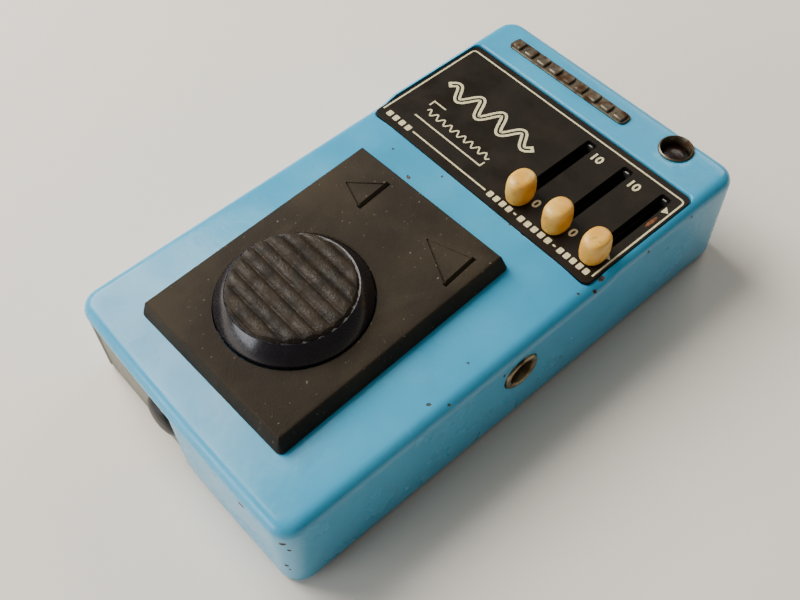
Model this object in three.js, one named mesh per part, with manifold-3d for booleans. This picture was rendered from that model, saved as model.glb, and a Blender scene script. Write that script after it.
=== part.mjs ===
// A guitar effects pedal in a die-cast case: a rubber tread pad with a round footswitch button,
// three slide controls on a sunk panel, a jack on each side, an indicator lamp and a 9 V battery
// behind a hinged door in the near end. Millimetres. +X is right, +Y runs from the tread end to the
// control end, +Z is up, and the origin is on the floor under the middle of the case.
import * as THREE from 'three';
import { mergeVertices } from 'three/addons/utils/BufferGeometryUtils.js';
import Module from 'manifold-3d';

const wasm = await Module();
wasm.setup();

// ---------- driving dimensions ----------

const clearance = 0.3;            // between pieces that touch

// case
const bodyWidth = 76;
const bodyLength = 136.2;
const footStand = 1.5;            // how far the feet hold the case's rim off the floor
const nearHeight = 24.5;          // rim to top at the tread end
const farHeight = 26.5;           // rim to top around the control panel
const wall = 2.6;
const roof = 3;
const cornerRadius = 5;
const edgeRadius = 3;
const frontBow = 0.8;             // the near face bulges by this in its middle
const creaseX = 25;               // the flat top falls away outside these lines
const shoulderDrop = 1.4;         // by this much at the side, just before the panel
const shoulderRunOut = 5;         // length over which the shoulder climbs back to the panel's rim

// control panel and its slide controls
const farStrip = 14.4;
const sliderTravel = 20;
const panelMargin = 8.2;          // panel beyond the lever's travel, at each end
const panelSide = 2;              // panel's edge in from the case's side
const panelRecess = 1.6;
const panelPlate = 0.8;
const panelCorner = 2;
const sliderCount = 3;
const sliderSpacing = 11.5;
const sliderBody = { width: 8, beyondTravel: 5, height: 6.3 };
const sliderLever = { width: 1.2, length: 4, reach: 3.4, depth: 4 };
const sliderSlotWidth = 2.8;
const slotBeyondTravel = 2.9;
const knob = { width: 6, length: 7.6, height: 6.4, corner: 2.2 };

// tread pad and footswitch
const padNear = 10.5;
const padLipGap = 9.7;
const padHalfWidth = 23.9;
const padOffset = 0.4;            // the pad's middle to the right of the button's
const padHeight = 4.1;
const padInset = 1.3;
const padTurn = 1.9;              // degrees: the pad is glued on slightly askew
const buttonFromNear = 35.1;
const buttonRadius = 17.3;
const buttonTopRadius = 13.7;
const buttonRise = 5.2;           // above the pad
const buttonTravel = 2.5;
const buttonWall = 2;
const buttonRidges = 8;
const ridgeDepth = 0.7;
const stemRadius = 3;
const guideRadius = 4.9;
const guideFlange = 1.2;
const springWire = 0.9;
const springRadius = 7;
const springTurns = 3;
const switchHalf = 5;
const switchPlunger = 1.6;

// sockets, lamp, badge
const jackBehindBattery = 3.3;
const jackHeight = 16.2;          // axis above the case's rim
const jackBore = 3.2;
const jackRing = 4.75;
const jackBody = { length: 21, halfWidth: 6.5, halfHeight: 4.8 };
const jackProud = 0.5;
const lampFromWall = 12.4;
const lampFromFar = 5.7;
const lampRadius = 3.4;
const lampRim = 4.3;
const lampRimHeight = 0.5;
const badge = { x: -10.2, length: 39, width: 4, height: 0.9, bars: 9, margin: 0.5 };

// battery (the standard 9 V block), its bay and door
const battery = { width: 26.5, length: 48.5, height: 17.5 };
const batteryFromNear = 5;
const doorThickness = 1.8;
const doorSetBack = 1.2;          // door's face behind the most forward point of the case
const mouthBeyondBay = 8;         // the door and its opening run on past the battery's partition
const doorPin = 0.8;
const doorKnuckle = 1.2;
const gripRadius = 5.2;
const gripProud = 2;
const gripBelowRoof = 8;          // grip's middle under the roof over the battery
const trayWall = 1;
const snapThickness = 1.2;        // of the snap connector behind the battery's terminals

// base, feet, boards
const basePlate = 1.2;
const footRadius = 5;
const screwRadius = 1.4;
const screwHead = { radius: 2.8, height: 0.9 };
const screwLength = 8;
const postRadius = 3.4;
const boardThickness = 1.6;
const switchBoardThickness = 1.3;
const leadRadius = 0.7;

// ---------- places worked out from them ----------

const halfWidth = bodyWidth / 2;
const near = -bodyLength / 2;
const far = bodyLength / 2;
const rimZ = footStand;
const panelHalfWidth = halfWidth - panelSide;
const panelLength = sliderTravel + 2 * panelMargin;
const panelFar = far - farStrip;
const lip = panelFar - panelLength;
const padRoofUnder = rimZ + nearHeight - roof;
const panelRoofUnder = rimZ + farHeight - roof;
const panelFloor = rimZ + farHeight - panelRecess;
const panelTop = panelFloor + clearance + panelPlate;
const baseTop = rimZ + basePlate;
const innerX = halfWidth - wall;
const buttonY = near + buttonFromNear;
const jackZ = rimZ + jackHeight;
const lampX = innerX - lampFromWall;
const lampY = far - lampFromFar;
const bayLeft = -innerX;
const bayRight = bayLeft + clearance + battery.width + clearance;
const batteryFar = near + batteryFromNear + battery.length;
const jackY = batteryFar + snapThickness + jackBehindBattery + jackBody.halfWidth;
const mouthRight = bayRight + mouthBeyondBay;
// the momentary switch stands right beside the battery bay, with the button over it
const besideBay = bayRight + trayWall + clearance + 0.1;
const buttonX = besideBay + switchHalf;
const padX = buttonX + padOffset;
const sliderRestY = lip + panelMargin - 0.5;
const sliderX = (index) => innerX - clearance - sliderBody.width / 2 - (sliderCount - 1 - index) * sliderSpacing;

// ---------- solids ----------

function solid(geometry) {
  const bare = geometry.clone();
  bare.deleteAttribute('normal');
  bare.deleteAttribute('uv');
  const merged = mergeVertices(bare, 1e-4);
  const corners = merged.index.array;
  const kept = [];
  for (let i = 0; i < corners.length; i += 3) {
    const [a, b, c] = [corners[i], corners[i + 1], corners[i + 2]];
    if (a !== b && b !== c && c !== a) kept.push(a, b, c);
  }
  return new wasm.Manifold(new wasm.Mesh({
    numProp: 3,
    vertProperties: new Float32Array(merged.attributes.position.array),
    triVerts: new Uint32Array(kept),
  }));
}

function geometryOf(shape) {
  const mesh = shape.getMesh();
  const geometry = new THREE.BufferGeometry();
  geometry.setAttribute('position', new THREE.BufferAttribute(new Float32Array(mesh.vertProperties), 3));
  geometry.setIndex(new THREE.BufferAttribute(new Uint32Array(mesh.triVerts), 1));
  geometry.computeVertexNormals();
  return geometry;
}

const joined = (first, ...rest) => rest.reduce((sum, shape) => sum.add(shape), first);
const cutFrom = (first, ...rest) => rest.reduce((left, shape) => left.subtract(shape), first);

function block(x0, x1, y0, y1, z0, z1) {
  const geometry = new THREE.BoxGeometry(x1 - x0, y1 - y0, z1 - z0);
  return solid(geometry.translate((x0 + x1) / 2, (y0 + y1) / 2, (z0 + z1) / 2));
}

// a rod along 'x', 'y' or 'z' between two places on that axis; across gives its two other coordinates
function rod(axis, radius, from, to, across, sides = 20) {
  const geometry = new THREE.CylinderGeometry(radius, radius, to - from, sides);
  const middle = (from + to) / 2;
  if (axis === 'x') geometry.rotateZ(-Math.PI / 2).translate(middle, across[0], across[1]);
  if (axis === 'y') geometry.translate(across[0], middle, across[1]);
  if (axis === 'z') geometry.rotateX(Math.PI / 2).translate(across[0], across[1], middle);
  return solid(geometry);
}

// a turned piece about the vertical through (x, y): profile points are [radius, height]
function turned(profile, x, y, sides = 24) {
  const points = profile.map(([radius, height]) => new THREE.Vector2(radius, height));
  return solid(new THREE.LatheGeometry(points, sides).rotateX(Math.PI / 2).translate(x, y, 0));
}

function roundedRectangle(x0, x1, y0, y1, radius) {
  const shape = new THREE.Shape();
  shape.moveTo(x0 + radius, y0);
  shape.lineTo(x1 - radius, y0);
  shape.absarc(x1 - radius, y0 + radius, radius, -Math.PI / 2, 0);
  shape.lineTo(x1, y1 - radius);
  shape.absarc(x1 - radius, y1 - radius, radius, 0, Math.PI / 2);
  shape.lineTo(x0 + radius, y1);
  shape.absarc(x0 + radius, y1 - radius, radius, Math.PI / 2, Math.PI);
  shape.lineTo(x0, y0 + radius);
  shape.absarc(x0 + radius, y0 + radius, radius, Math.PI, 1.5 * Math.PI);
  return shape;
}

function slab(shape, z0, z1, curveSegments = 4) {
  const geometry = new THREE.ExtrudeGeometry(shape, { depth: z1 - z0, bevelEnabled: false, curveSegments });
  return solid(geometry.translate(0, 0, z0));
}

// a block whose grid lines stand at the given stations and whose points are then moved by place()
function formedBlock(xs, ys, zs, place) {
  const geometry = new THREE.BoxGeometry(1, 1, 1, xs.length - 1, ys.length - 1, zs.length - 1);
  const position = geometry.attributes.position;
  const pick = (stations, share) => stations[Math.round((share + 0.5) * (stations.length - 1))];
  for (let i = 0; i < position.count; i += 1) {
    const point = place(pick(xs, position.getX(i)), pick(ys, position.getY(i)), pick(zs, position.getZ(i)));
    position.setXYZ(i, point.x, point.y, point.z);
  }
  return solid(geometry);
}

function tube(points, radius, sides, steps) {
  const section = new THREE.Shape();
  section.absarc(0, 0, radius, 0, 2 * Math.PI);
  const path = new THREE.CatmullRomCurve3(points.map(([x, y, z]) => new THREE.Vector3(x, y, z)));
  const options = { extrudePath: path, steps, curveSegments: Math.round(sides / 2), bevelEnabled: false };
  return solid(new THREE.ExtrudeGeometry(section, options));
}

const pedal = new THREE.Group();

function add(name, shape, colour, roughness, metalness) {
  const material = new THREE.MeshStandardMaterial({ color: colour, roughness, metalness });
  const mesh = new THREE.Mesh(geometryOf(shape), material);
  mesh.name = name;
  pedal.add(mesh);
}

const enamel = [0x86bcd0, 0.3, 0];
const darkRubber = [0x3f3729, 0.85, 0];
const blackPlastic = [0x26221c, 0.35, 0];
const steel = [0x9a9a98, 0.4, 1];
const nickel = [0xb9b2a2, 0.25, 1];
const brass = [0xb99a52, 0.35, 1];
const add3 = (name, shape, finish) => add(name, shape, finish[0], finish[1], finish[2]);

// ---------- case ----------

const share = (value, from, to) => Math.min(Math.max((value - from) / (to - from), 0), 1);
const smooth = (t) => t * t * (3 - 2 * t);

function flatTop(y) {
  return rimZ + nearHeight + (farHeight - nearHeight) * share(y, near, lip);
}

function topHeight(x, y) {
  const along = share(y, near, lip);
  const outward = share(Math.abs(x), creaseX, halfWidth);
  const climbStart = lip - 3 + 7 * outward;
  const climbed = smooth(share(y, climbStart, climbStart + shoulderRunOut));
  return flatTop(y) - shoulderDrop * along * outward * (1 - climbed);
}

// the case's outline has round corners; the top edge is rolled over by edgeRadius
function casePoint(x, y, z) {
  const cornerX = (Math.abs(x) - (halfWidth - cornerRadius)) / cornerRadius;
  const cornerY = (Math.abs(y) - (bodyLength / 2 - cornerRadius)) / cornerRadius;
  let inset = Math.min(halfWidth - Math.abs(x), bodyLength / 2 - Math.abs(y));
  let [planX, planY] = [x, y];
  if (cornerX > 0 && cornerY > 0) {
    const roundX = cornerX * Math.sqrt(1 - cornerY ** 2 / 2);
    const roundY = cornerY * Math.sqrt(1 - cornerX ** 2 / 2);
    planX = Math.sign(x) * (halfWidth - cornerRadius + roundX * cornerRadius);
    planY = Math.sign(y) * (bodyLength / 2 - cornerRadius + roundY * cornerRadius);
    inset = cornerRadius * (1 - Math.hypot(roundX, roundY));
  }
  const bowed = planY + frontBow * (planX / halfWidth) ** 2 * share(-planY, 0, bodyLength / 2);
  if (z === rimZ) return new THREE.Vector3(planX, bowed, z);
  const rolled = Math.max(edgeRadius - inset, 0);
  const drop = edgeRadius - Math.sqrt(edgeRadius ** 2 - Math.min(rolled, edgeRadius) ** 2);
  return new THREE.Vector3(planX, bowed, topHeight(planX, planY) - drop);
}

function caseSolid() {
  const rollSteps = 4;
  const edge = [];
  for (let i = 0; i <= rollSteps; i += 1) {
    edge.push(edgeRadius * (1 - Math.cos((i * Math.PI) / 2 / rollSteps)));
  }
  edge.push(cornerRadius);
  const mirrored = (inner) => [
    ...edge.map((inset) => -halfWidth + inset), ...inner, ...edge.map((inset) => halfWidth - inset).reverse(),
  ];
  const ends = (inner) => [
    ...edge.map((inset) => near + inset), ...inner, ...edge.map((inset) => far - inset).reverse(),
  ];
  const climb = [-3, -0.5, 1.5, 4, 6.5, 9].map((step) => lip + step);
  return formedBlock(mirrored([-creaseX, 0, creaseX]), ends([0, ...climb]), [rimZ, rimZ + nearHeight], casePoint);
}

// places of the cast posts, with the height their lower ends reach down to
const basePosts = [
  ['near_left', besideBay + postRadius, near + wall + postRadius + 1.4],
  ['near_right', innerX - postRadius + 0.5, near + wall + postRadius + 1.4],
  ['far_left', -innerX + postRadius + 0.8, far - wall - postRadius - 0.8],
  ['far_right', innerX - postRadius - 0.8, far - wall - postRadius - 0.8],
];
const boardNear = lip - 9.4;
const boardFar = far - wall - 2 * postRadius - 3;
const boardTop = panelRoofUnder - clearance - sliderBody.height - clearance;
const boardBottom = boardTop - boardThickness;
const boardPosts = [
  ['near_left', -innerX + 6, boardNear + 5],
  ['far_left', -innerX + 6, boardFar - 5],
  ['far_middle', -1.5, boardFar - 5],
];
const switchBoardZ = rimZ + 4;
const switchBoardTop = switchBoardZ + switchBoardThickness;
const switchPosts = [['left', buttonX + 10.4, buttonY - 3.5], ['right', buttonX + 20.4, buttonY + 3.5]];

function post(x, y, bottom, top, radius) {
  const pilot = screwRadius + clearance;
  const body = rod('z', radius, bottom, top + 1, [x, y], 16);
  return cutFrom(body, rod('z', pilot, bottom - 1, bottom + screwLength, [x, y], 12));
}

const hingeX = bayLeft + clearance + doorKnuckle + 0.2;
const hingeY = near + doorSetBack + doorThickness / 2;
const earReach = 2.5;             // of the ear under the hinge, past the hinge's line

function enclosure() {
  const innerCorner = cornerRadius - wall;
  let shell = caseSolid();
  const cavity = roundedRectangle(-innerX, innerX, near + wall + frontBow, far - wall, innerCorner);
  const highCavity = roundedRectangle(-innerX, innerX, lip - 8, far - wall, innerCorner);
  shell = cutFrom(shell, slab(cavity, rimZ - 1, padRoofUnder), slab(highCavity, rimZ - 1, panelRoofUnder));
  const posts = [
    ...basePosts.map(([, x, y]) => post(x, y, baseTop + clearance, y < 0 ? padRoofUnder : panelRoofUnder, postRadius)),
    ...boardPosts.map(([, x, y]) => post(x, y, boardTop + clearance, panelRoofUnder, 2.6)),
    ...switchPosts.map(([, x, y]) => post(x, y, switchBoardTop + clearance, padRoofUnder, 2.6)),
  ];
  shell = joined(shell, ...posts);
  const recess = roundedRectangle(-panelHalfWidth, panelHalfWidth, lip, panelFar, panelCorner);
  shell = cutFrom(shell, slab(recess, panelFloor, panelFloor + 10));
  for (let i = 0; i < sliderCount; i += 1) {
    const halfSlot = sliderSlotWidth / 2 + clearance;
    const [slotNear, slotFar] = slotEnds(clearance);
    shell = cutFrom(shell, block(sliderX(i) - halfSlot, sliderX(i) + halfSlot, slotNear, slotFar, 10, 40));
  }
  const jackHole = jackRing + clearance;
  shell = cutFrom(
    shell,
    rod('x', jackHole, -halfWidth - 1, -innerX + 1, [jackY, jackZ], 24),
    rod('x', jackHole, innerX - 1, halfWidth + 1, [jackY, jackZ], 24),
    rod('z', guideRadius + clearance, 10, 40, [buttonX, buttonY]),
    rod('z', lampRim - clearance, 10, 40, [lampX, lampY]),
    block(bayLeft, bayRight, near - 1, near + wall + frontBow + 1, rimZ - 1, padRoofUnder),
    block(bayLeft, mouthRight, near - 1, near + wall + frontBow + 0.2, rimZ - 1, padRoofUnder),
    rod('z', doorPin + clearance, padRoofUnder - 1, padRoofUnder + 1.4, [hingeX, hingeY], 12),
  );
  add3('enclosure', shell, enamel);
}

function slotEnds(grow) {
  const halfLever = sliderLever.length / 2 + slotBeyondTravel + grow;
  return [sliderRestY - halfLever + 1.5, sliderRestY + sliderTravel + halfLever];
}

// ---------- base ----------

function base() {
  const edge = clearance + 0.1;
  const outline = roundedRectangle(
    -innerX + edge, innerX - edge, near + wall + frontBow + edge, far - wall - edge, cornerRadius - wall,
  );
  let plate = slab(outline, rimZ, baseTop);
  // an ear under the door's hinge takes the lower pin
  const ear = block(bayLeft + edge, hingeX + earReach, near + doorSetBack, near + wall + frontBow + 0.7, rimZ, baseTop);
  plate = joined(plate, ear);
  plate = cutFrom(plate, rod('z', doorPin + clearance, rimZ - 1, baseTop + 1, [hingeX, hingeY], 12));
  for (const [name, x, y] of basePosts) {
    plate = cutFrom(plate, rod('z', screwRadius + clearance, rimZ - 1, baseTop + 1, [x, y], 12));
    const head = rimZ - clearance;
    const shank = head + basePlate + screwLength - 1;
    const profile = [
      [0, head - screwHead.height], [screwHead.radius * 0.7, head - screwHead.height],
      [screwHead.radius, head - 0.3], [screwHead.radius, head], [screwRadius, head],
      [screwRadius, shank], [0, shank + 0.8],
    ];
    add3(`base_screw_${name}`, turned(profile, x, y, 16), steel);
  }
  add3('base_plate', plate, steel);
}

function feet() {
  const footX = innerX - footRadius - 4;
  for (const [endName, y] of [['near', near + 22], ['far', far - 22]]) {
    for (const [sideName, side] of [['left', -1], ['right', 1]]) {
      const top = rimZ - clearance;
      const profile = [[0, 0], [footRadius - 0.6, 0], [footRadius, 0.4], [footRadius, top], [0, top]];
      add3(`foot_${endName}_${sideName}`, turned(profile, side * footX, y, 20), darkRubber);
    }
  }
}

// ---------- tread pad and footswitch ----------

const slope = Math.atan((farHeight - nearHeight) / (lip - near));
const padFar = lip - padLipGap;
const buttonBaseZ = flatTop(buttonY) + clearance + padHeight;
const buttonTopZ = buttonBaseZ + buttonRise;
const buttonCeiling = buttonTopZ - buttonWall - ridgeDepth;
const guideFlangeBottom = padRoofUnder - clearance - guideFlange;
const skirtBottom = flatTop(buttonY + buttonRadius) + clearance + buttonTravel + 0.1;

function treadPad() {
  const halfLength = (padFar - (near + padNear)) / 2;
  const middle = (padFar + near + padNear) / 2;
  const geometry = new THREE.BoxGeometry(2 * padHalfWidth, 2 * halfLength, padHeight);
  const position = geometry.attributes.position;
  for (let i = 0; i < position.count; i += 1) {
    if (position.getZ(i) > 0) {
      position.setX(i, position.getX(i) - Math.sign(position.getX(i)) * padInset);
      position.setY(i, position.getY(i) - Math.sign(position.getY(i)) * padInset);
    }
  }
  geometry.rotateZ(THREE.MathUtils.degToRad(padTurn)).rotateX(slope);
  geometry.translate(padX, middle, flatTop(middle) + clearance + padHeight / 2);
  const hole = rod('z', buttonRadius + clearance, 10, 60, [buttonX, buttonY], 40);
  add3('tread_pad', cutFrom(solid(geometry), hole), darkRubber);
}

function footswitch() {
  const inner = buttonRadius - buttonWall;
  const profile = [
    [0, buttonCeiling], [inner - 2.5, buttonCeiling], [inner, buttonCeiling - 2.2], [inner, skirtBottom],
    [buttonRadius, skirtBottom], [buttonRadius, buttonBaseZ + 0.4], [buttonTopRadius + 0.5, buttonTopZ - 0.7],
    [buttonTopRadius, buttonTopZ], [0, buttonTopZ],
  ];
  let cap = turned(profile, buttonX, buttonY, 40);
  const pitch = (2 * buttonTopRadius) / (buttonRidges + 0.5);
  for (let i = 0; i <= buttonRidges; i += 1) {
    const y = buttonY + (i - buttonRidges / 2) * pitch;
    const groove = block(
      buttonX - buttonRadius, buttonX + buttonRadius, y - pitch * 0.22, y + pitch * 0.22,
      buttonTopZ - ridgeDepth, buttonTopZ + 1,
    );
    cap = cutFrom(cap, groove);
  }
  add3('footswitch_cap', cap, blackPlastic);

  const clipTop = guideFlangeBottom - clearance;
  const clipBottom = clipTop - 0.8;
  const stemBottom = clipBottom - 1;
  const stem = rod('z', stemRadius, stemBottom, buttonCeiling - clearance, [buttonX, buttonY]);
  const clipGroove = cutFrom(
    rod('z', stemRadius + 1, clipBottom - 0.1, clipTop + 0.1, [buttonX, buttonY]),
    rod('z', stemRadius - 0.8, clipBottom - 1, clipTop + 1, [buttonX, buttonY]),
  );
  add3('footswitch_stem', cutFrom(stem, clipGroove), steel);
  const clip = cutFrom(
    rod('z', stemRadius + 2, clipBottom, clipTop, [buttonX, buttonY]),
    rod('z', stemRadius - 0.5, clipBottom - 1, clipTop + 1, [buttonX, buttonY]),
    block(buttonX, buttonX + 10, buttonY - 1.6, buttonY + 1.6, clipBottom - 1, clipTop + 1),
  );
  add3('footswitch_clip', clip, steel);

  const guide = [
    [stemRadius + clearance, guideFlangeBottom], [guideRadius + 1.6, guideFlangeBottom],
    [guideRadius + 1.6, padRoofUnder - clearance], [guideRadius, padRoofUnder - clearance],
    [guideRadius, flatTop(buttonY) - 0.4], [stemRadius + clearance, flatTop(buttonY) - 0.4],
    [stemRadius + clearance, guideFlangeBottom],
  ];
  add3('footswitch_guide', turned(guide, buttonX, buttonY), [0xd8d4c4, 0.5, 0]);

  const springBottom = flatTop(buttonY + springRadius) + clearance + springWire / 2;
  const springTop = buttonCeiling - clearance - springWire / 2;
  const helix = [];
  const perTurn = 10;
  for (let i = 0; i <= springTurns * perTurn; i += 1) {
    const angle = (i / perTurn) * 2 * Math.PI;
    const height = springBottom + ((springTop - springBottom) * i) / (springTurns * perTurn);
    helix.push([
      buttonX + springRadius * Math.cos(angle), buttonY + springRadius * Math.sin(angle), height,
    ]);
  }
  add3('footswitch_spring', tube(helix, springWire / 2, 6, springTurns * 14), steel);
  momentarySwitch(stemBottom);
}

function momentarySwitch(stemBottom) {
  const bodyBottom = switchBoardTop + clearance;
  const bodyTop = stemBottom - clearance - buttonTravel - 1.2;
  const wellBottom = bodyBottom + 2;
  const plungerTop = stemBottom - clearance;
  const plungerBottom = wellBottom + clearance + buttonTravel;
  const well = rod('z', switchPlunger + clearance, wellBottom, bodyTop + 1, [buttonX, buttonY], 16);
  const body = block(buttonX - switchHalf, buttonX + switchHalf, buttonY - switchHalf, buttonY + switchHalf, bodyBottom, bodyTop);
  add3('switch_body', cutFrom(body, well), blackPlastic);
  add('switch_plunger', rod('z', switchPlunger, plungerBottom, plungerTop, [buttonX, buttonY], 16), 0xb8402c, 0.5, 0);
  let board = block(buttonX - switchHalf - 0.2, buttonX + 23.9, buttonY - 7.5, buttonY + 7.5, switchBoardZ, switchBoardTop);
  for (const [name, x, y] of switchPosts) {
    board = cutFrom(board, rod('z', screwRadius + clearance, 0, 20, [x, y], 12));
    add3(`switch_screw_${name}`, boardScrew(x, y, switchBoardZ), steel);
  }
  add('switch_board', board, 0x7a5a2c, 0.6, 0);
}

function boardScrew(x, y, boardUnderside) {
  const head = boardUnderside - clearance;
  const profile = [
    [0, head - 1.4], [1.8, head - 1.4], [2.5, head - 0.8], [2.5, head], [screwRadius, head],
    [screwRadius, head + screwLength - 1], [0, head + screwLength],
  ];
  return turned(profile, x, y, 12);
}

// ---------- control panel and slide controls ----------

function controlPanel() {
  const outline = roundedRectangle(
    -panelHalfWidth + clearance, panelHalfWidth - clearance, lip + clearance, panelFar - clearance,
    panelCorner - clearance,
  );
  let plate = slab(outline, panelFloor + clearance, panelTop);
  for (let i = 0; i < sliderCount; i += 1) {
    const [slotNear, slotFar] = slotEnds(0);
    const halfSlot = sliderSlotWidth / 2;
    const slot = roundedRectangle(sliderX(i) - halfSlot, sliderX(i) + halfSlot, slotNear, slotFar, 0.8);
    plate = cutFrom(plate, slab(slot, panelFloor - 1, panelTop + 1, 3));
  }
  add('control_panel', plate, 0x2b2212, 0.5, 0);
}

function slideControl(index) {
  const x = sliderX(index);
  const name = `slider_${index + 1}`;
  const bodyTop = panelRoofUnder - clearance;
  const bodyBottom = bodyTop - sliderBody.height;
  const halfLever = sliderLever.length / 2;
  const end = halfLever + sliderBody.beyondTravel;
  const leverBottom = bodyTop - sliderLever.depth;
  const track = block(
    x - sliderLever.width / 2 - clearance, x + sliderLever.width / 2 + clearance,
    sliderRestY - halfLever - clearance, sliderRestY + sliderTravel + halfLever + clearance,
    leverBottom - clearance, bodyTop + 1,
  );
  const box = block(
    x - sliderBody.width / 2, x + sliderBody.width / 2,
    sliderRestY - end, sliderRestY + sliderTravel + end, bodyBottom, bodyTop,
  );
  add3(`${name}_body`, cutFrom(box, track), steel);
  const lever = block(
    x - sliderLever.width / 2, x + sliderLever.width / 2,
    sliderRestY - halfLever, sliderRestY + halfLever, leverBottom, panelTop + sliderLever.reach,
  );
  add3(`${name}_lever`, lever, steel);

  const knobBottom = panelTop + clearance;
  const outline = roundedRectangle(
    x - knob.width / 2, x + knob.width / 2,
    sliderRestY - knob.length / 2, sliderRestY + knob.length / 2, knob.corner,
  );
  const crown = new THREE.SphereGeometry(1, 16, 10);
  crown.rotateX(Math.PI / 2).scale(knob.width * 0.62, knob.length * 0.62, knob.height);
  crown.translate(x, sliderRestY, knobBottom);
  const socket = block(
    x - sliderLever.width / 2 - clearance, x + sliderLever.width / 2 + clearance,
    sliderRestY - halfLever - clearance, sliderRestY + halfLever + clearance,
    knobBottom - 1, panelTop + sliderLever.reach + clearance,
  );
  const body = slab(outline, knobBottom, knobBottom + knob.height, 3).intersect(solid(crown));
  add(`${name}_knob`, cutFrom(body, socket), 0xe8cf90, 0.45, 0);
}

// ---------- sockets, lamp and badge ----------

function jack(name, side) {
  const bodyOuter = innerX - clearance;
  const bodyInner = bodyOuter - jackBody.length;
  const across = [jackY, jackZ];
  const [low, high] = side > 0 ? [bodyInner, bodyOuter] : [-bodyOuter, -bodyInner];
  const [boreLow, boreHigh] = side > 0 ? [bodyInner + 2.5, bodyOuter + 1] : [-bodyOuter - 1, -bodyInner - 2.5];
  const body = block(
    low, high, jackY - jackBody.halfWidth, jackY + jackBody.halfWidth,
    jackZ - jackBody.halfHeight, jackZ + jackBody.halfHeight,
  );
  add3(`${name}_jack_body`, cutFrom(body, rod('x', jackBore, boreLow, boreHigh, across)), blackPlastic);
  const [ringLow, ringHigh] = side > 0 ? [innerX, halfWidth + jackProud] : [-halfWidth - jackProud, -innerX];
  const ring = cutFrom(
    rod('x', jackRing, ringLow, ringHigh, across, 24),
    rod('x', jackBore, ringLow - 1, ringHigh + 1, across, 24),
  );
  add3(`${name}_jack_ring`, ring, nickel);
  const leafTop = jackZ - jackBody.halfHeight - clearance;
  const leaf = block(low + 2, high - 2, jackY - 1.6, jackY + 1.6, leafTop - 0.5, leafTop);
  add3(`${name}_jack_leaf`, leaf, brass);
}

function lamp() {
  const top = rimZ + farHeight;
  const rim = [
    [lampRadius, panelRoofUnder], [lampRim - 2 * clearance, panelRoofUnder], [lampRim - 2 * clearance, top + clearance],
    [lampRim, top + clearance], [lampRim - 0.15, top + clearance + lampRimHeight],
    [lampRadius, top + clearance + 0.2], [lampRadius, panelRoofUnder],
  ];
  add3('lamp_rim', turned(rim, lampX, lampY, 28), nickel);
  const lensRadius = lampRadius - clearance;
  const lens = [[0, panelRoofUnder], [lensRadius, panelRoofUnder], [lensRadius, top - 1.5], [0, top - 0.9]];
  add('lamp_lens', turned(lens, lampX, lampY, 20), 0x3a1010, 0.2, 0);
  const ledRadius = 2.4;
  const ledTop = panelRoofUnder - clearance;
  const led = [[0, boardTop + clearance], [ledRadius, boardTop + clearance], [ledRadius, ledTop - 1.5], [0, ledTop]];
  add('lamp_led', turned(led, lampX, lampY, 16), 0x8c1a14, 0.25, 0);
}

function badgeBar() {
  const y = far - farStrip / 2 - 0.4;
  const bottom = rimZ + farHeight + clearance;
  const [left, right] = [badge.x - badge.length / 2, badge.x + badge.length / 2];
  const rail = roundedRectangle(left, right, y - badge.width / 2, y + badge.width / 2, badge.width * 0.35);
  let bar = slab(rail, bottom, bottom + badge.height / 2, 4);
  const pitch = badge.length / badge.bars;
  for (let i = 0; i < badge.bars; i += 1) {
    const x = left + (i + 0.5) * pitch;
    const halfBar = badge.width / 2 - badge.margin;
    bar = joined(bar, block(x - pitch / 3, x + pitch / 3, y - halfBar, y + halfBar, bottom + 0.1, bottom + badge.height));
  }
  add('badge_bar', bar, 0x8b8577, 0.35, 1);
}

// ---------- battery bay ----------

function batteryBay() {
  const left = bayLeft + clearance;
  const right = left + battery.width;
  const nearEnd = near + batteryFromNear;
  const farEnd = batteryFar;
  const bottom = baseTop + 0.5;
  const top = bottom + battery.height;
  const terminals = [left + battery.width / 2 - 6.35, left + battery.width / 2 + 6.35];
  const middleZ = (bottom + top) / 2;
  let cell = block(left, right, nearEnd, farEnd - 2.5, bottom, top);
  for (const x of terminals) cell = joined(cell, rod('y', 2.9, farEnd - 3, farEnd, [x, middleZ], 12));
  add('battery', cell, 0x4a4e52, 0.4, 0.6);
  const snapNear = farEnd - 2.5 + clearance;
  let snap = block(left + 0.7, right - 0.7, snapNear, farEnd + snapThickness, middleZ - 6, middleZ + 6);
  for (const x of terminals) {
    snap = cutFrom(snap, rod('y', 2.9 + clearance, snapNear - 1, farEnd + clearance, [x, middleZ], 12));
  }
  add('battery_snap', snap, 0x1d1d1f, 0.6, 0);
  // the partition stops short of the flange of the footswitch's guide
  const tray = block(
    bayRight, bayRight + trayWall, nearEnd, farEnd, baseTop + clearance, guideFlangeBottom - clearance,
  );
  add('battery_partition', tray, 0x2c2c2a, 0.6, 0);
  return { farEnd, middleZ };
}

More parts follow.
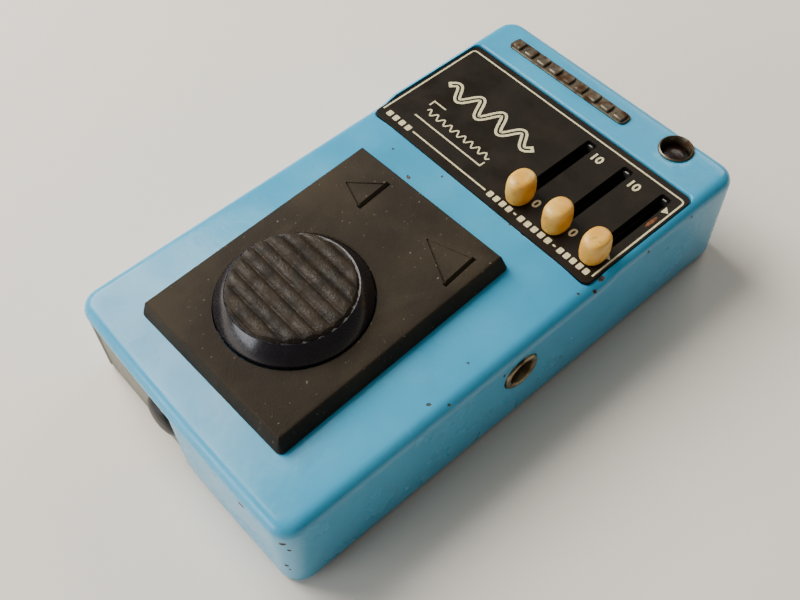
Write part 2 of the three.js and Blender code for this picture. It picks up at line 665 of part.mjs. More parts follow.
function batteryDoor() {
  const edge = clearance + 0.1;
  const bottom = baseTop + edge;
  const top = padRoofUnder - edge;
  const face = near + doorSetBack;
  const right = mouthRight - edge;
  const plate = block(hingeX, right, face, face + doorThickness, bottom, top);
  // past the hinge's ear the door reaches down over the edge of the base
  const apron = block(hingeX + earReach + edge, right, face, face + doorThickness, rimZ + edge, bottom + 1);
  const knuckle = rod('z', doorKnuckle, bottom, top, [hingeX, hingeY], 16);
  const pin = rod('z', doorPin, rimZ + 0.2, padRoofUnder + 1, [hingeX, hingeY], 12);
  add('battery_door', joined(plate, apron, knuckle, pin), 0x77756a, 0.6, 0);
  const gripX = right - gripRadius - 0.6;
  const gripBack = face - clearance;
  const profile = [
    [0, 0], [gripRadius, 0], [gripRadius, gripProud * 0.3], [gripRadius * 0.8, gripProud * 0.8], [0, gripProud],
  ].map(([radius, height]) => new THREE.Vector2(radius, height));
  const grip = new THREE.LatheGeometry(profile, 20);
  grip.rotateX(Math.PI).translate(gripX, gripBack, padRoofUnder - gripBelowRoof);
  add3('battery_door_grip', solid(grip), blackPlastic);
}

// ---------- circuit board and wiring ----------

function circuitBoard() {
  const outline = new THREE.Shape();
  const [left, right] = [-innerX + 2.4, innerX - 2.4];
  const tongue = 3.8;
  const tongueEnd = far - wall - clearance;
  const corners = [
    [left, boardNear], [right, boardNear], [right, boardFar], [lampX + tongue, boardFar],
    [lampX + tongue, tongueEnd], [lampX - tongue, tongueEnd], [lampX - tongue, boardFar], [left, boardFar],
  ];
  outline.setFromPoints(corners.map(([x, y]) => new THREE.Vector2(x, y)));
  let board = slab(outline, boardBottom, boardTop);
  for (const [name, x, y] of boardPosts) {
    board = cutFrom(board, rod('z', screwRadius + clearance, 0, 30, [x, y], 12));
    add3(`board_screw_${name}`, boardScrew(x, y, boardBottom), steel);
  }
  add('circuit_board', board, 0x6d5a2a, 0.6, 0);

  const partBottom = boardTop + clearance;
  const chips = [['chip_large', -17, lip + 13, 20], ['chip_small', -17, lip + 25, 10]];
  for (const [name, x, y, length] of chips) {
    add(name, block(x - length / 2, x + length / 2, y - 3.2, y + 3.2, partBottom, partBottom + 3.3), 0x1c1c1e, 0.5, 0);
  }
  const capacitors = [[-25, lip + 1], [-9, lip + 1], [-3, lip + 14]];
  capacitors.forEach(([x, y], index) => {
    const can = [[0, partBottom], [3, partBottom], [3, partBottom + 5.4], [2.6, partBottom + 5.9], [0, partBottom + 5.9]];
    add(`capacitor_${index + 1}`, turned(can, x, y, 16), 0x2a3a5e, 0.4, 0);
  });
}

function wiring({ farEnd, middleZ }) {
  const underBoard = boardBottom - clearance;
  const leads = [
    ['lead_battery_positive', [
      [-12, farEnd + 2.4, middleZ - 2], [-11.5, farEnd + 5, middleZ - 3.5], [-10.5, jackY + 4, rimZ + 7],
      [-10, boardNear + 2, rimZ + 8], [-10, boardNear + 5, underBoard - 3], [-10, boardNear + 5.5, underBoard],
    ], 0xa62a22],
    ['lead_battery_negative', [
      [-12, farEnd + 2.4, middleZ - 5.5], [-10, farEnd + 5, rimZ + 4.5], [-7.5, jackY + 4, rimZ + 4],
      [-7, boardNear + 2, rimZ + 6], [-7, boardNear + 5, underBoard - 3], [-7, boardNear + 5.5, underBoard],
    ], 0x1c1c1c],
    ['lead_input', [
      [17, jackY, jackZ - 7], [15, jackY + 3, jackZ - 9], [12, jackY + 8, rimZ + 7],
      [11, boardNear + 2, rimZ + 8], [11, boardNear + 5, underBoard - 2], [11, boardNear + 5.5, underBoard],
    ], 0xcfc7ac],
    ['lead_output', [
      [-18, jackY, jackZ - 7], [-18.5, jackY + 3, jackZ - 9], [-18, jackY + 8, rimZ + 7],
      [-17.5, boardNear + 2, rimZ + 8], [-17.5, boardNear + 5, underBoard - 2], [-17.5, boardNear + 5.5, underBoard],
    ], 0xcfc7ac],
    ['lead_switch', [
      [4, buttonY + 8.2, switchBoardZ + 0.6], [4, buttonY + 12, switchBoardZ], [3, jackY, rimZ + 4],
      [2, boardNear + 2, rimZ + 6], [2, boardNear + 5, underBoard - 3], [2, boardNear + 5.5, underBoard],
    ], 0x3c6a3a],
  ];
  for (const [name, points, colour] of leads) add(name, tube(points, leadRadius, 8, 20), colour, 0.6, 0);
}

enclosure();
base();
feet();
treadPad();
footswitch();
controlPanel();
for (let i = 0; i < sliderCount; i += 1) slideControl(i);
jack('input', 1);
jack('output', -1);
lamp();
badgeBar();
wiring(batteryBay());
batteryDoor();
circuitBoard();

export default pedal;
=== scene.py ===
"""A guitar effects pedal in sky-blue enamel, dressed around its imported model."""

import random
from math import atan, copysign, cos, hypot, pi, radians, sin, sqrt

import bmesh
import bpy
from mathutils import Matrix, Vector


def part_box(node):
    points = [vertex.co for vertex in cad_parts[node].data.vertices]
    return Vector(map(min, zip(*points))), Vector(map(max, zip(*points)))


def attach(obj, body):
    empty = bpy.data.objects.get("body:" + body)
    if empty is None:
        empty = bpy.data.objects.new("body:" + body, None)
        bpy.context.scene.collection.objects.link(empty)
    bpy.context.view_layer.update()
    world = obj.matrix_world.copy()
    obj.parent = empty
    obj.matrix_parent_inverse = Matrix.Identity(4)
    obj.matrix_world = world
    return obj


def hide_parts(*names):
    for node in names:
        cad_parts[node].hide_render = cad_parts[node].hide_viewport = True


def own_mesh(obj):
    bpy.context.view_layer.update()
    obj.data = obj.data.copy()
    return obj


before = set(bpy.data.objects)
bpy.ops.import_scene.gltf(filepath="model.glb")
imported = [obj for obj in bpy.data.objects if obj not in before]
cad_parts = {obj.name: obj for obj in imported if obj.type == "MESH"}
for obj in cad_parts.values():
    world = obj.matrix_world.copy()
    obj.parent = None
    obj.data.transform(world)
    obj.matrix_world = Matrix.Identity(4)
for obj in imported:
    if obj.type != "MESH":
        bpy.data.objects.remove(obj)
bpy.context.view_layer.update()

MM = 0.001


# ---- places taken from the frame, in mm


def span(node):
    """Lowest and highest corner of a CAD node."""
    low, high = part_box(node)
    return low / MM, high / MM


def middle(node):
    """The middle of a CAD node, as x, y and z."""
    low, high = span(node)
    return tuple((a + b) / 2 for a, b in zip(low, high))


def half_size(node):
    """Half of a CAD node's size, along x, y and z."""
    low, high = span(node)
    return tuple((b - a) / 2 for a, b in zip(low, high))


case_low, case_high = span("enclosure")
HALF_WIDTH = case_high.x
HALF_LENGTH = case_high.y
RIM = case_low.z
TOP = case_high.z
panel_low, panel_high = span("control_panel")
cap_low, cap_high = span("footswitch_cap")
BUTTON = (cap_low + cap_high) / 2

GAP = 0.3  # between parts that must not touch
WALL = 2.6
ROOF = 3.0
CORNER = 5.0
ROLLED_EDGE = 3.0
BOW = 0.8  # the near end bows out by this much at its middle
CREASE = 25.0  # the top's flat middle reaches this far to each side
SHOULDER_DROP = 1.4
SHOULDER_RUN_OUT = 5.0
NEAR_DIP = 2.0  # the tread end is this much lower than the control end
LIP = panel_low.y - GAP
PANEL_FAR = panel_high.y + GAP
PANEL_HALF = panel_high.x + GAP
PAD_CEILING = TOP - NEAR_DIP - ROOF  # inner height of the case under the pad
PANEL_CEILING = TOP - ROOF  # and under the panel, from here on
PANEL_CEILING_NEAR = LIP - 8
STEM_HOLE_RADIUS = 5.2
AXIS = 0.01  # a turned solid closes at this radius

BUTTON_RADIUS = 17.3
CROWN_RADIUS = 13.7
BUTTON_RISE = 5.2  # the button's sloping side starts this far below its top
RIB_DEPTH = 0.85

SLIDERS = (1, 2, 3)
SLOT_HALF = 1.4
SLOT_NEAR = 3.4  # a slot reaches this far nearer than its lever at rest
SLOT_FAR = 24.9  # and this far further


def slider_place(i):
    """Plan place of a slide control at rest."""
    return middle(f"slider_{i}_lever")[:2]


def slot_opening(i, spare=0.0):
    """Middle and half sizes of a slot, made wider all round by spare."""
    x, rest = slider_place(i)
    near_end, far_end = rest - SLOT_NEAR - spare, rest + SLOT_FAR + spare
    return x, (near_end + far_end) / 2, SLOT_HALF + spare, (far_end - near_end) / 2


# ---- mesh helpers


def clamp(value, low=0.0, high=1.0):
    return min(max(value, low), high)


def share(value, start, end):
    """How far a value is on its way from start to end, from 0 to 1."""
    return clamp((value - start) / (end - start))


def eased(t):
    return t * t * (3 - 2 * t)


def around(count):
    """Evenly spaced angles of a full turn."""
    return [2 * pi * i / count for i in range(count)]


def in_scene(name, data):
    """A new object in the scene."""
    made = bpy.data.objects.new(name, data)
    bpy.context.scene.collection.objects.link(made)
    return made


def piece(name, points, faces, **settled):
    """A mesh object from points in mm; without more it is only a cutter."""
    mesh = bpy.data.meshes.new(name)
    mesh.from_pydata([[c * MM for c in p] for p in points], [], faces)
    mesh.update()
    made = in_scene(name, mesh)
    work = bmesh.new()
    work.from_mesh(mesh)
    bmesh.ops.recalc_face_normals(work, faces=work.faces)
    work.to_mesh(mesh)
    work.free()
    if settled:
        settle(made, **settled)
    return made


def settle(made, material, body="case", slot=None, replaces=(), smooth=None):
    """Gives a shaped piece its material, shading and body, and hides the CAD nodes it stands for."""
    if material:
        made.data.materials.clear()
        made.data.materials.append(material)
    if smooth:
        shade(made, smooth)
    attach(made, body)
    if replaces:
        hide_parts(*replaces)


def shade(made, angle):
    """Smooth shading, with edges sharper than the angle in degrees kept crisp."""
    work = bmesh.new()
    work.from_mesh(made.data)
    for edge in work.edges:
        edge.smooth = len(edge.link_faces) == 2 and edge.calc_face_angle(0) < radians(angle)
    for face in work.faces:
        face.smooth = True
    work.to_mesh(made.data)
    work.free()


def lofted(name, rings, hollow=False, **settled):
    """A solid through rings of equally many points, capped, or closed on itself if hollow."""
    count, levels = len(rings[0]), len(rings)
    points = [p for ring in rings for p in ring]
    faces = [] if hollow else [list(range(count))]
    for r in range(levels if hollow else levels - 1):
        here, there = r * count, (r + 1) % levels * count
        for i in range(count):
            j = (i + 1) % count
            faces.append([here + i, here + j, there + j, there + i])
    if not hollow:
        faces.append([(levels - 1) * count + i for i in range(count)])
    return piece(name, points, faces, **settled)


def rounded_rectangle(x, y, half_x, half_y, radius, steps=6):
    """Points of a rounded rectangle about (x, y)."""
    outline = []
    for corner, (sx, sy) in enumerate([(1, -1), (1, 1), (-1, 1), (-1, -1)]):
        for i in range(steps + 1):
            angle = radians(-90 + 90 * corner + 90 * i / steps)
            outline.append((
                x + sx * (half_x - radius) + radius * cos(angle),
                y + sy * (half_y - radius) + radius * sin(angle),
            ))
    return outline


def slab(name, x, y, half_x, half_y, radius, levels, steps=6, **settled):
    """A rounded slab through (height, growth) levels."""
    rings = []
    for z, grow in levels:
        corner = max(radius + grow, 0.05)
        outline = rounded_rectangle(x, y, half_x + grow, half_y + grow, corner, steps)
        rings.append([(px, py, z) for px, py in outline])
    return lofted(name, rings, **settled)


def turned(name, profile, centre, axis="z", sides=64, **settled):
    """A turned piece: profile is [(radius, place along the axis)], centre the other two places."""
    rings = []
    for radius, along in profile:
        ring = []
        for angle in around(sides):
            point = [centre[0] + radius * cos(angle), centre[1] + radius * sin(angle)]
            point.insert("xyz".index(axis), along)
            ring.append(point)
        rings.append(ring)
    return lofted(name, rings, **settled)


def formed_block(name, xs, ys, zs, place):
    """A closed block with grid lines at the given stations, each point moved by place()."""
    index, points, faces = {}, [], []
    nx, ny, nz = len(xs) - 1, len(ys) - 1, len(zs) - 1

    def at(i, j, k):
        if (i, j, k) not in index:
            index[i, j, k] = len(points)
            points.append(place(xs[i], ys[j], zs[k]))
        return index[i, j, k]

    for k in (0, nz):
        for i in range(nx):
            for j in range(ny):
                faces.append([at(i, j, k), at(i + 1, j, k), at(i + 1, j + 1, k), at(i, j + 1, k)])
    for k in range(nz):
        for j in (0, ny):
            for i in range(nx):
                faces.append([at(i, j, k), at(i + 1, j, k), at(i + 1, j, k + 1), at(i, j, k + 1)])
        for i in (0, nx):
            for j in range(ny):
                faces.append([at(i, j, k), at(i, j + 1, k), at(i, j + 1, k + 1), at(i, j, k + 1)])
    return piece(name, points, faces)


def cut(target, *cutters, operation="DIFFERENCE"):
    """Cuts the cutters out of the target, or joins them to it, for good, and removes them."""
    for cutter in cutters:
        step = target.modifiers.new("cut", "BOOLEAN")
        step.operation = operation
        step.solver = "EXACT"
        step.object = cutter
    bpy.context.view_layer.update()
    depsgraph = bpy.context.evaluated_depsgraph_get()
    result = bpy.data.meshes.new_from_object(target.evaluated_get(depsgraph))
    target.modifiers.clear()
    target.data = result
    for cutter in cutters:
        bpy.data.objects.remove(cutter)


# ---- materials


def linear(hex_colour):
    """An sRGB hex colour as linear red, green, blue and alpha."""
    values = [int(hex_colour[i:i + 2], 16) / 255 for i in (1, 3, 5)]
    return tuple(v / 12.92 if v <= 0.04045 else ((v + 0.055) / 1.055) ** 2.4 for v in values) + (1.0,)


def add(material, kind, inputs=None, **settings):
    """Adds a node with its settings; an input given as a socket is linked, any other is set."""
    tree = material.node_tree
    made = tree.nodes.new("ShaderNode" + kind)
    for key, value in settings.items():
        setattr(made, key, value)
    for key, value in (inputs or {}).items():
        if isinstance(value, bpy.types.NodeSocket):
            tree.links.new(value, made.inputs[key])
        else:
            made.inputs[key].default_value = value
    return made


def finish(name, colour, roughness, metallic=0.0, **sockets):
    """A new material with its shader's own values, and a node for the place in the object, in metres."""
    material = bpy.data.materials.new(name)
    material.use_nodes = True
    shader = material.node_tree.nodes["Principled BSDF"]
    shader.inputs["Base Color"].default_value = linear(colour)
    shader.inputs["Roughness"].default_value = roughness
    shader.inputs["Metallic"].default_value = metallic
    for key, value in sockets.items():
        shader.inputs[key.replace("_", " ")].default_value = value
    add(material, "TexCoord", name="place")
    return material


def feed(material, socket, value):
    """Leads a value into the shader."""
    tree = material.node_tree
    tree.links.new(value, tree.nodes["Principled BSDF"].inputs[socket])


def patches(material, size_mm, low=0.3, high=0.7, detail=4.0, stretch=None, between=(0.0, 1.0)):
    """Soft patches about size_mm wide, where noise rises from low to high, as values between two."""
    place = material.node_tree.nodes["place"].outputs["Object"]
    if stretch:
        place = add(material, "Mapping", {"Vector": place, "Scale": stretch}).outputs["Vector"]
    noise = add(material, "TexNoise", {"Vector": place, "Scale": 1 / (size_mm * MM), "Detail": detail})
    inputs = {"Value": noise.outputs["Fac"], "From Min": low, "From Max": high}
    inputs.update({"To Min": between[0], "To Max": between[1]})
    return add(material, "MapRange", inputs, interpolation_type="SMOOTHSTEP").outputs["Result"]


def paint(material, colour, *coats):
    """Colours the surface, with each (share of cover, colour) coat laid over the last."""
    shown = linear(colour)
    for cover, coat in coats:
        mix = add(material, "Mix", {0: cover, 6: shown, 7: linear(coat)}, data_type="RGBA")
        shown = mix.outputs[2]
    feed(material, "Base Color", shown)


def relief(material, *heights):
    """Raises the surface by each (pattern, depth in mm), the next over the last; the finish is done."""
    inputs = {}
    for height, depth_mm in heights:
        inputs.update({"Height": height, "Strength": 1.0, "Distance": depth_mm * MM})
        inputs["Normal"] = add(material, "Bump", inputs).outputs["Normal"]
    feed(material, "Normal", inputs["Normal"])
    return material


def baked_enamel():
    """Stoved enamel on die-cast zinc: glossy, faintly orange-peeled, with a little grime in patches."""
    material = finish(
        "baked_enamel", "#38a0ca", 0.3, IOR=1.5, Specular_IOR_Level=0.4, Coat_Weight=0.05,
        Coat_Roughness=0.12,
    )
    shades = patches(material, 30, 0.35, 0.65)
    grime = patches(material, 9, 0.56, 0.8, detail=6, between=(0, 0.2))
    paint(material, "#359dc8", (shades, "#41a7d0"), (grime, "#4c8a9c"))
    smears = patches(material, 14, 0.4, 0.7, detail=6, between=(0.2, 0.34))
    feed(material, "Roughness", smears)
    peel = patches(material, 2.2, detail=1)
    specks = patches(material, 0.8, 0.72, 0.78, detail=2)
    return relief(material, (peel, 0.012), (specks, 0.02))


def bared_metal():
    """Zinc laid bare in a chip: dull brown with oxide and dirt, grainy."""
    material = finish("bared_zinc", "#5b4a3c", 0.75, metallic=0.3)
    paint(material, "#3f2f24", (patches(material, 0.6, 0.35, 0.65), "#7a685a"))
    return relief(material, (patches(material, 0.3), 0.04))


def moulded_rubber(name, colour, dust):
    """Natural rubber from a mould: dull, with a fine skin and dust caught in it."""
    material = finish(name, colour, 0.78, IOR=1.5, Specular_IOR_Level=0.3)
    skin = patches(material, 12, 0.35, 0.7, detail=6)
    specks = patches(material, 0.9, 0.7, 0.76, detail=2, between=(0, 0.55))
    paint(material, colour, (skin, dust), (specks, "#8c8474"))
    grain = patches(material, 0.35, detail=2)
    return relief(material, (grain, 0.04), (patches(material, 5), 0.08))


def gloss_black():
    """Moulded ABS, black with a warm cast: shiny, with faint hairline scratches and grey dust."""
    material = finish("gloss_black_abs", "#100c14", 0.2, IOR=1.53)
    dust = patches(material, 3, 0.55, 0.85, detail=8, between=(0, 0.2))
    paint(material, "#100c14", (dust, "#3a342c"))
    scratches = patches(material, 1.4, 0.45, 0.6, detail=3, stretch=(1, 14, 14), between=(0.16, 0.3))
    feed(material, "Roughness", scratches)
    return relief(material, (patches(material, 6), 0.03))


def scuffed_crown():
    """The same ABS where shoes land: dulled brown in scuffs, with grit in spots."""
    material = finish("scuffed_crown_abs", "#241c10", 0.6, IOR=1.5, Specular_IOR_Level=0.3)
    scuffs = patches(material, 4, 0.35, 0.65, detail=8)
    grit = patches(material, 0.8, 0.62, 0.72, detail=3, between=(0, 0.3))
    paint(material, "#1a1208", (scuffs, "#2c2112"), (grit, "#5c5240"))
    rubbed = patches(material, 3, between=(0.42, 0.75))
    feed(material, "Roughness", rubbed)
    grain = patches(material, 0.4, detail=3)
    return relief(material, (grain, 0.05), (patches(material, 2.5, 0.35, 0.7, detail=5), 0.12))


def panel_paint():
    """Satin lacquer on sheet metal, dark brown, rubbed in places."""
    material = finish("satin_brown_lacquer", "#170f06", 0.5, IOR=1.4, Specular_IOR_Level=0.3)
    paint(material, "#150e05", (patches(material, 7, 0.4, 0.75, detail=8), "#1e160c"))
    rubbed = patches(material, 5, between=(0.38, 0.55))
    feed(material, "Roughness", rubbed)
    return relief(material, (patches(material, 0.7, detail=2), 0.012))


def rust_bloom():
    """Powdery orange-brown rust where the lacquer has worn through."""
    material = finish("rust_bloom", "#6b3a1c", 0.9)
    paint(material, "#4a2a16", (patches(material, 0.8, 0.35, 0.65, detail=6), "#8a5228"))
    return relief(material, (patches(material, 0.4), 0.05))


def printing_ink():
    """Screen ink, cream and slightly broken by the lacquer under it."""
    material = finish("cream_screen_ink", "#d8cfa4", 0.55)
    paint(material, "#c3b98e", (patches(material, 0.5, 0.35, 0.6, detail=3), "#e2d9b0"))
    return relief(material, (patches(material, 0.3), 0.01))


def aged_polystyrene():
    """Cream polystyrene yellowed with age: soft gloss, a little light passing into it, grime in spots."""
    material = finish(
        "aged_cream_polystyrene", "#e3b45c", 0.36, IOR=1.59, Subsurface_Weight=0.15,
        Subsurface_Radius=(0.0012, 0.0008, 0.0004), Subsurface_Scale=1.0,
    )
    yellowed = patches(material, 5, 0.35, 0.65, detail=5)
    grime = patches(material, 1.3, 0.58, 0.75, detail=6, between=(0, 0.45))
    paint(material, "#e8a83a", (yellowed, "#f6c45a"), (grime, "#94682c"))
    return relief(material, (patches(material, 1.2, detail=3), 0.025))


def plated(name, colour, worn, roughness):
    """Bright plating gone dull: metal, with brownish tarnish in patches."""
    material = finish(name, colour, roughness, metallic=1.0)
    tarnish = patches(material, 2.5, 0.42, 0.68, detail=7)
    paint(material, colour, (tarnish, worn))
    inputs = {"Value": tarnish, "To Min": roughness * 0.8, "To Max": roughness * 1.7}
    feed(material, "Roughness", add(material, "MapRange", inputs).outputs["Result"])
    return relief(material, (patches(material, 0.6, detail=3), 0.01))


def rolled_sheet(name, colour, worn, roughness):
    """Zinc-plated rolled steel: rolling lines, drawn 0.5 mm apart so that they show, and a cloudy sheen."""
    material = finish(name, colour, roughness, metallic=1.0)
    paint(material, colour, (patches(material, 8, 0.35, 0.7, detail=5), worn))
    lines = patches(material, 0.5, 0.35, 0.65, detail=3, stretch=(1, 0.04, 1))
    inputs = {"Value": lines, "To Min": roughness * 0.85, "To Max": roughness * 1.3}
    feed(material, "Roughness", add(material, "MapRange", inputs).outputs["Result"])
    return relief(material, (lines, 0.008))


def moulded(name, colour, lighter, roughness):
    """Injection-moulded plastic: a spark-eroded skin, drawn at 0.5 mm, coarser than real, to show."""
    material = finish(name, colour, roughness, IOR=1.5, Specular_IOR_Level=0.35)
    paint(material, colour, (patches(material, 6, 0.35, 0.7, detail=5), lighter))
    return relief(material, (patches(material, 0.5, detail=2), 0.03))


def tinted_lens():
    """Deep red acrylic over an unlit lamp: nearly black, with a wet shine."""
    material = finish("deep_red_acrylic", "#120504", 0.3, IOR=1.49)
    paint(material, "#0d0303", (patches(material, 2), "#1c0705"))
    return relief(material, (patches(material, 1.1, detail=1), 0.02))


def circuit_laminate():
    """Phenolic paper board: brown, with copper tracks about 2 mm wide under a clear coat."""
    material = finish("phenolic_board", "#7a5a2a", 0.5, IOR=1.5)
    tracks = add(material, "TexWave", {
        "Vector": material.node_tree.nodes["place"].outputs["Object"],
        "Scale": 1 / (12 * MM), "Distortion": 6.0, "Detail": 1.0, "Detail Scale": 0.4,
    }, wave_type="BANDS", bands_direction="DIAGONAL")
    on_track = add(material, "MapRange", {
        "Value": tracks.outputs["Fac"], "From Min": 0.62, "From Max": 0.66,
    }).outputs["Result"]
    paper = patches(material, 1.0, stretch=(1, 0.2, 1))
    paint(material, "#6d4f24", (paper, "#856534"), (on_track, "#9c6a3a"))
    return relief(material, (on_track, 0.035))


def battery_jacket():
    """Lacquered steel jacket: graphite with a plain gold band, no print."""
    material = finish("battery_jacket", "#33373b", 0.32, metallic=0.6)
    place = material.node_tree.nodes["place"].outputs["Object"]
    along = add(material, "SeparateXYZ", {"Vector": place}).outputs["Y"]
    terminals = span("battery")[1].y
    band = add(material, "MapRange", {
        "Value": along, "From Min": (terminals - 16) * MM, "From Max": (terminals - 15.8) * MM,
    }).outputs["Result"]
    cloud = patches(material, 5, 0.4, 0.7, detail=5)
    paint(material, "#2f3337", (cloud, "#3c4146"), (band, "#b08a3c"))
    return relief(material, (patches(material, 1.5), 0.015))


ENAMEL = baked_enamel()
BARE = bared_metal()
TREAD_RUBBER = moulded_rubber("tread_rubber", "#251d11", "#332a1b")
FOOT_RUBBER = moulded_rubber("foot_rubber", "#1b1a19", "#2a2826")
GLOSS_BLACK = gloss_black()
CROWN = scuffed_crown()
PANEL = panel_paint()
INK = printing_ink()
RUST = rust_bloom()
CREAM = aged_polystyrene()
NICKEL = plated("dulled_nickel", "#8f8268", "#5c4c32", 0.36)
BRASS = plated("spring_brass", "#c9a75a", "#94713a", 0.28)
BADGE = plated("tarnished_badge_metal", "#6d6658", "#57402f", 0.5)
STEEL = rolled_sheet("zinc_plated_steel", "#a9aaa8", "#8d8e8a", 0.36)
DARK_STEEL = rolled_sheet("blackened_steel", "#2a2722", "#3a352c", 0.5)
# the door's grey-olive is partly its own dark grey and partly a painted reflection of the pale floor
DOOR_GREY_AND_REFLECTION = moulded("grey_olive_abs_with_painted_reflection", "#6e6c5e", "#7b796b", 0.55)
BLACK_PLASTIC = moulded("black_nylon", "#161617", "#222223", 0.5)
GRIP_BLACK = moulded("grip_black_abs", "#060506", "#0d0b0c", 0.42)
NYLON = moulded("natural_nylon", "#d4cfbc", "#dfdac9", 0.45)
RED_ACETAL = moulded("red_acetal", "#a8382a", "#b84834", 0.4)
CAN_SLEEVE = moulded("blue_can_sleeve", "#24385e", "#2e446c", 0.35)
LED_EPOXY = moulded("red_led_epoxy", "#7c1410", "#921c16", 0.15)
LENS = tinted_lens()
BOARD = circuit_laminate()
JACKET = battery_jacket()
LEAD_COLOURS = {
    "lead_battery_positive": moulded("red_insulation", "#a12a22", "#b2352b", 0.42),
    "lead_battery_negative": moulded("black_insulation", "#1a1a1a", "#262626", 0.42),
    "lead_input": moulded("cream_insulation", "#cfc6a8", "#dcd4ba", 0.42),
    "lead_output": moulded("cream_insulation_worn", "#c8bfa2", "#d6ceb4", 0.42),
    "lead_switch": moulded("green_insulation", "#33602f", "#3f703a", 0.42),
}


# ---- the case


def flat_top(y):
    """Height of the top's middle: it climbs from the near end to the panel's lip."""
    return TOP - NEAR_DIP * (1 - share(y, -HALF_LENGTH, LIP))


def top_height(x, y):
    """The flat top rises to the panel; outside the creases it falls away as a shoulder."""
    outward = share(abs(x), CREASE, HALF_WIDTH)
    climb_start = LIP - 3 + 7 * outward
    climbed = eased(share(y, climb_start, climb_start + SHOULDER_RUN_OUT))
    return flat_top(y) - SHOULDER_DROP * share(y, -HALF_LENGTH, LIP) * outward * (1 - climbed)


def case_point(x, y, level):
    """A point of the outer skin; level is 0 at the rim and 1 at the top."""
    corner_x = (abs(x) - (HALF_WIDTH - CORNER)) / CORNER
    corner_y = (abs(y) - (HALF_LENGTH - CORNER)) / CORNER
    inset = min(HALF_WIDTH - abs(x), HALF_LENGTH - abs(y))
    plan_x, plan_y = x, y
    if corner_x > 0 and corner_y > 0:
        round_x = corner_x * sqrt(1 - corner_y ** 2 / 2)
        round_y = corner_y * sqrt(1 - corner_x ** 2 / 2)
        plan_x = copysign(HALF_WIDTH - CORNER + round_x * CORNER, x)
        plan_y = copysign(HALF_LENGTH - CORNER + round_y * CORNER, y)
        inset = CORNER * (1 - hypot(round_x, round_y))
    bowed = plan_y + BOW * (plan_x / HALF_WIDTH) ** 2 * share(-plan_y, 0, HALF_LENGTH)
    rolled = clamp(ROLLED_EDGE - inset, 0, ROLLED_EDGE)
    drop = ROLLED_EDGE - sqrt(ROLLED_EDGE ** 2 - rolled ** 2)
    if level == 0:
        return (plan_x, bowed, RIM)
    full = top_height(plan_x, plan_y) - drop
    return (plan_x, bowed, RIM + (full - RIM) * level)


def stations(half, spacing=2.2):
    """Grid lines across a side: close together on the rolled edge, then evenly spaced."""
    edge = [ROLLED_EDGE * (1 - cos(radians(90 * i / 9))) for i in range(10)]
    edge += [ROLLED_EDGE + 1, CORNER]
    count = round(2 * (half - CORNER) / spacing)
    inner = [-half + CORNER + 2 * (half - CORNER) * i / count for i in range(1, count)]
    return [-half + e for e in edge] + inner + [half - e for e in reversed(edge)]


def flared_hole(name, radius, centre, axis, inner, outer, flare=0.4, sides=64):
    """A cutter for a round hole whose mouth, at outer, is eased by a small radius."""
    way = 1 if outer > inner else -1
    profile = [(radius, inner)]
    for i in range(5):
        angle = radians(90 * i / 4)
        profile.append((radius + flare * (1 - cos(angle)), outer - way * flare * (1 - sin(angle))))
    profile.append((radius + flare, outer + way * 2))
    return turned(name, profile, centre, axis, sides)


def cavity(name, near, far, half_x, bottom, ceiling):
    """A cutter for the inside of the case, its upper edges softened."""
    levels = [(bottom, 0), (ceiling - 0.8, 0), (ceiling - 0.2, -0.25), (ceiling, -0.8)]
    return slab(name, 0, (near + far) / 2, half_x, (far - near) / 2, CORNER - WALL, levels)


# chips in the enamel: place (x, y, z), size and how much longer than wide
CHIPS = (
    (36.5, -67.5, 21, 1.6, 1.5), (37.2, -66.4, 18, 1.2, 1.2), (36.0, -68.0, 9, 1.2, 1.6),
    (36.6, -67.6, 7, 0.9, 1.2), (24.3, -68.1, 21.5, 1.5, 2.2), (34.2, -27.2, 25, 1.1, 1.2),
    (36.2, -23.9, 25, 0.8, 1.4), (32.5, -14.6, 25, 0.8, 1), (37.6, -9, 22, 0.9, 1.3),
    (16.6, 18.0, 28, 1.3, 1.6), (12.8, 16.9, 28, 0.7, 1.2), (36.6, 21.8, 27, 1.5, 1.3),
    (37.4, 19.0, 25.5, 1.2, 1.4), (35.6, 15.2, 26, 0.8, 1.2), (-13.5, 9.5, 28, 1.3, 1.3),
    (-22.6, 12.7, 28, 0.9, 1.1), (-8.1, 15.4, 28, 0.7, 1.2), (37.9, 36, 25.5, 0.9, 1.6),
    (37.8, 50.9, 25.5, 0.9, 1.3), (38, 44, 20, 0.7, 1.3), (38, 10, 9, 0.8, 1.4),
    (-38, -40, 24, 1.2, 1.5), (-38, 5, 25, 0.9, 1.3), (-37, 60, 26, 1.2, 1.2),
    (-20, 68, 26, 1.3, 1.6), (12, 68, 25, 0.8, 1.4), (-38, 30, 8, 1, 1.4),
    (-36.8, -66.5, 17, 0.9, 1.3),
)


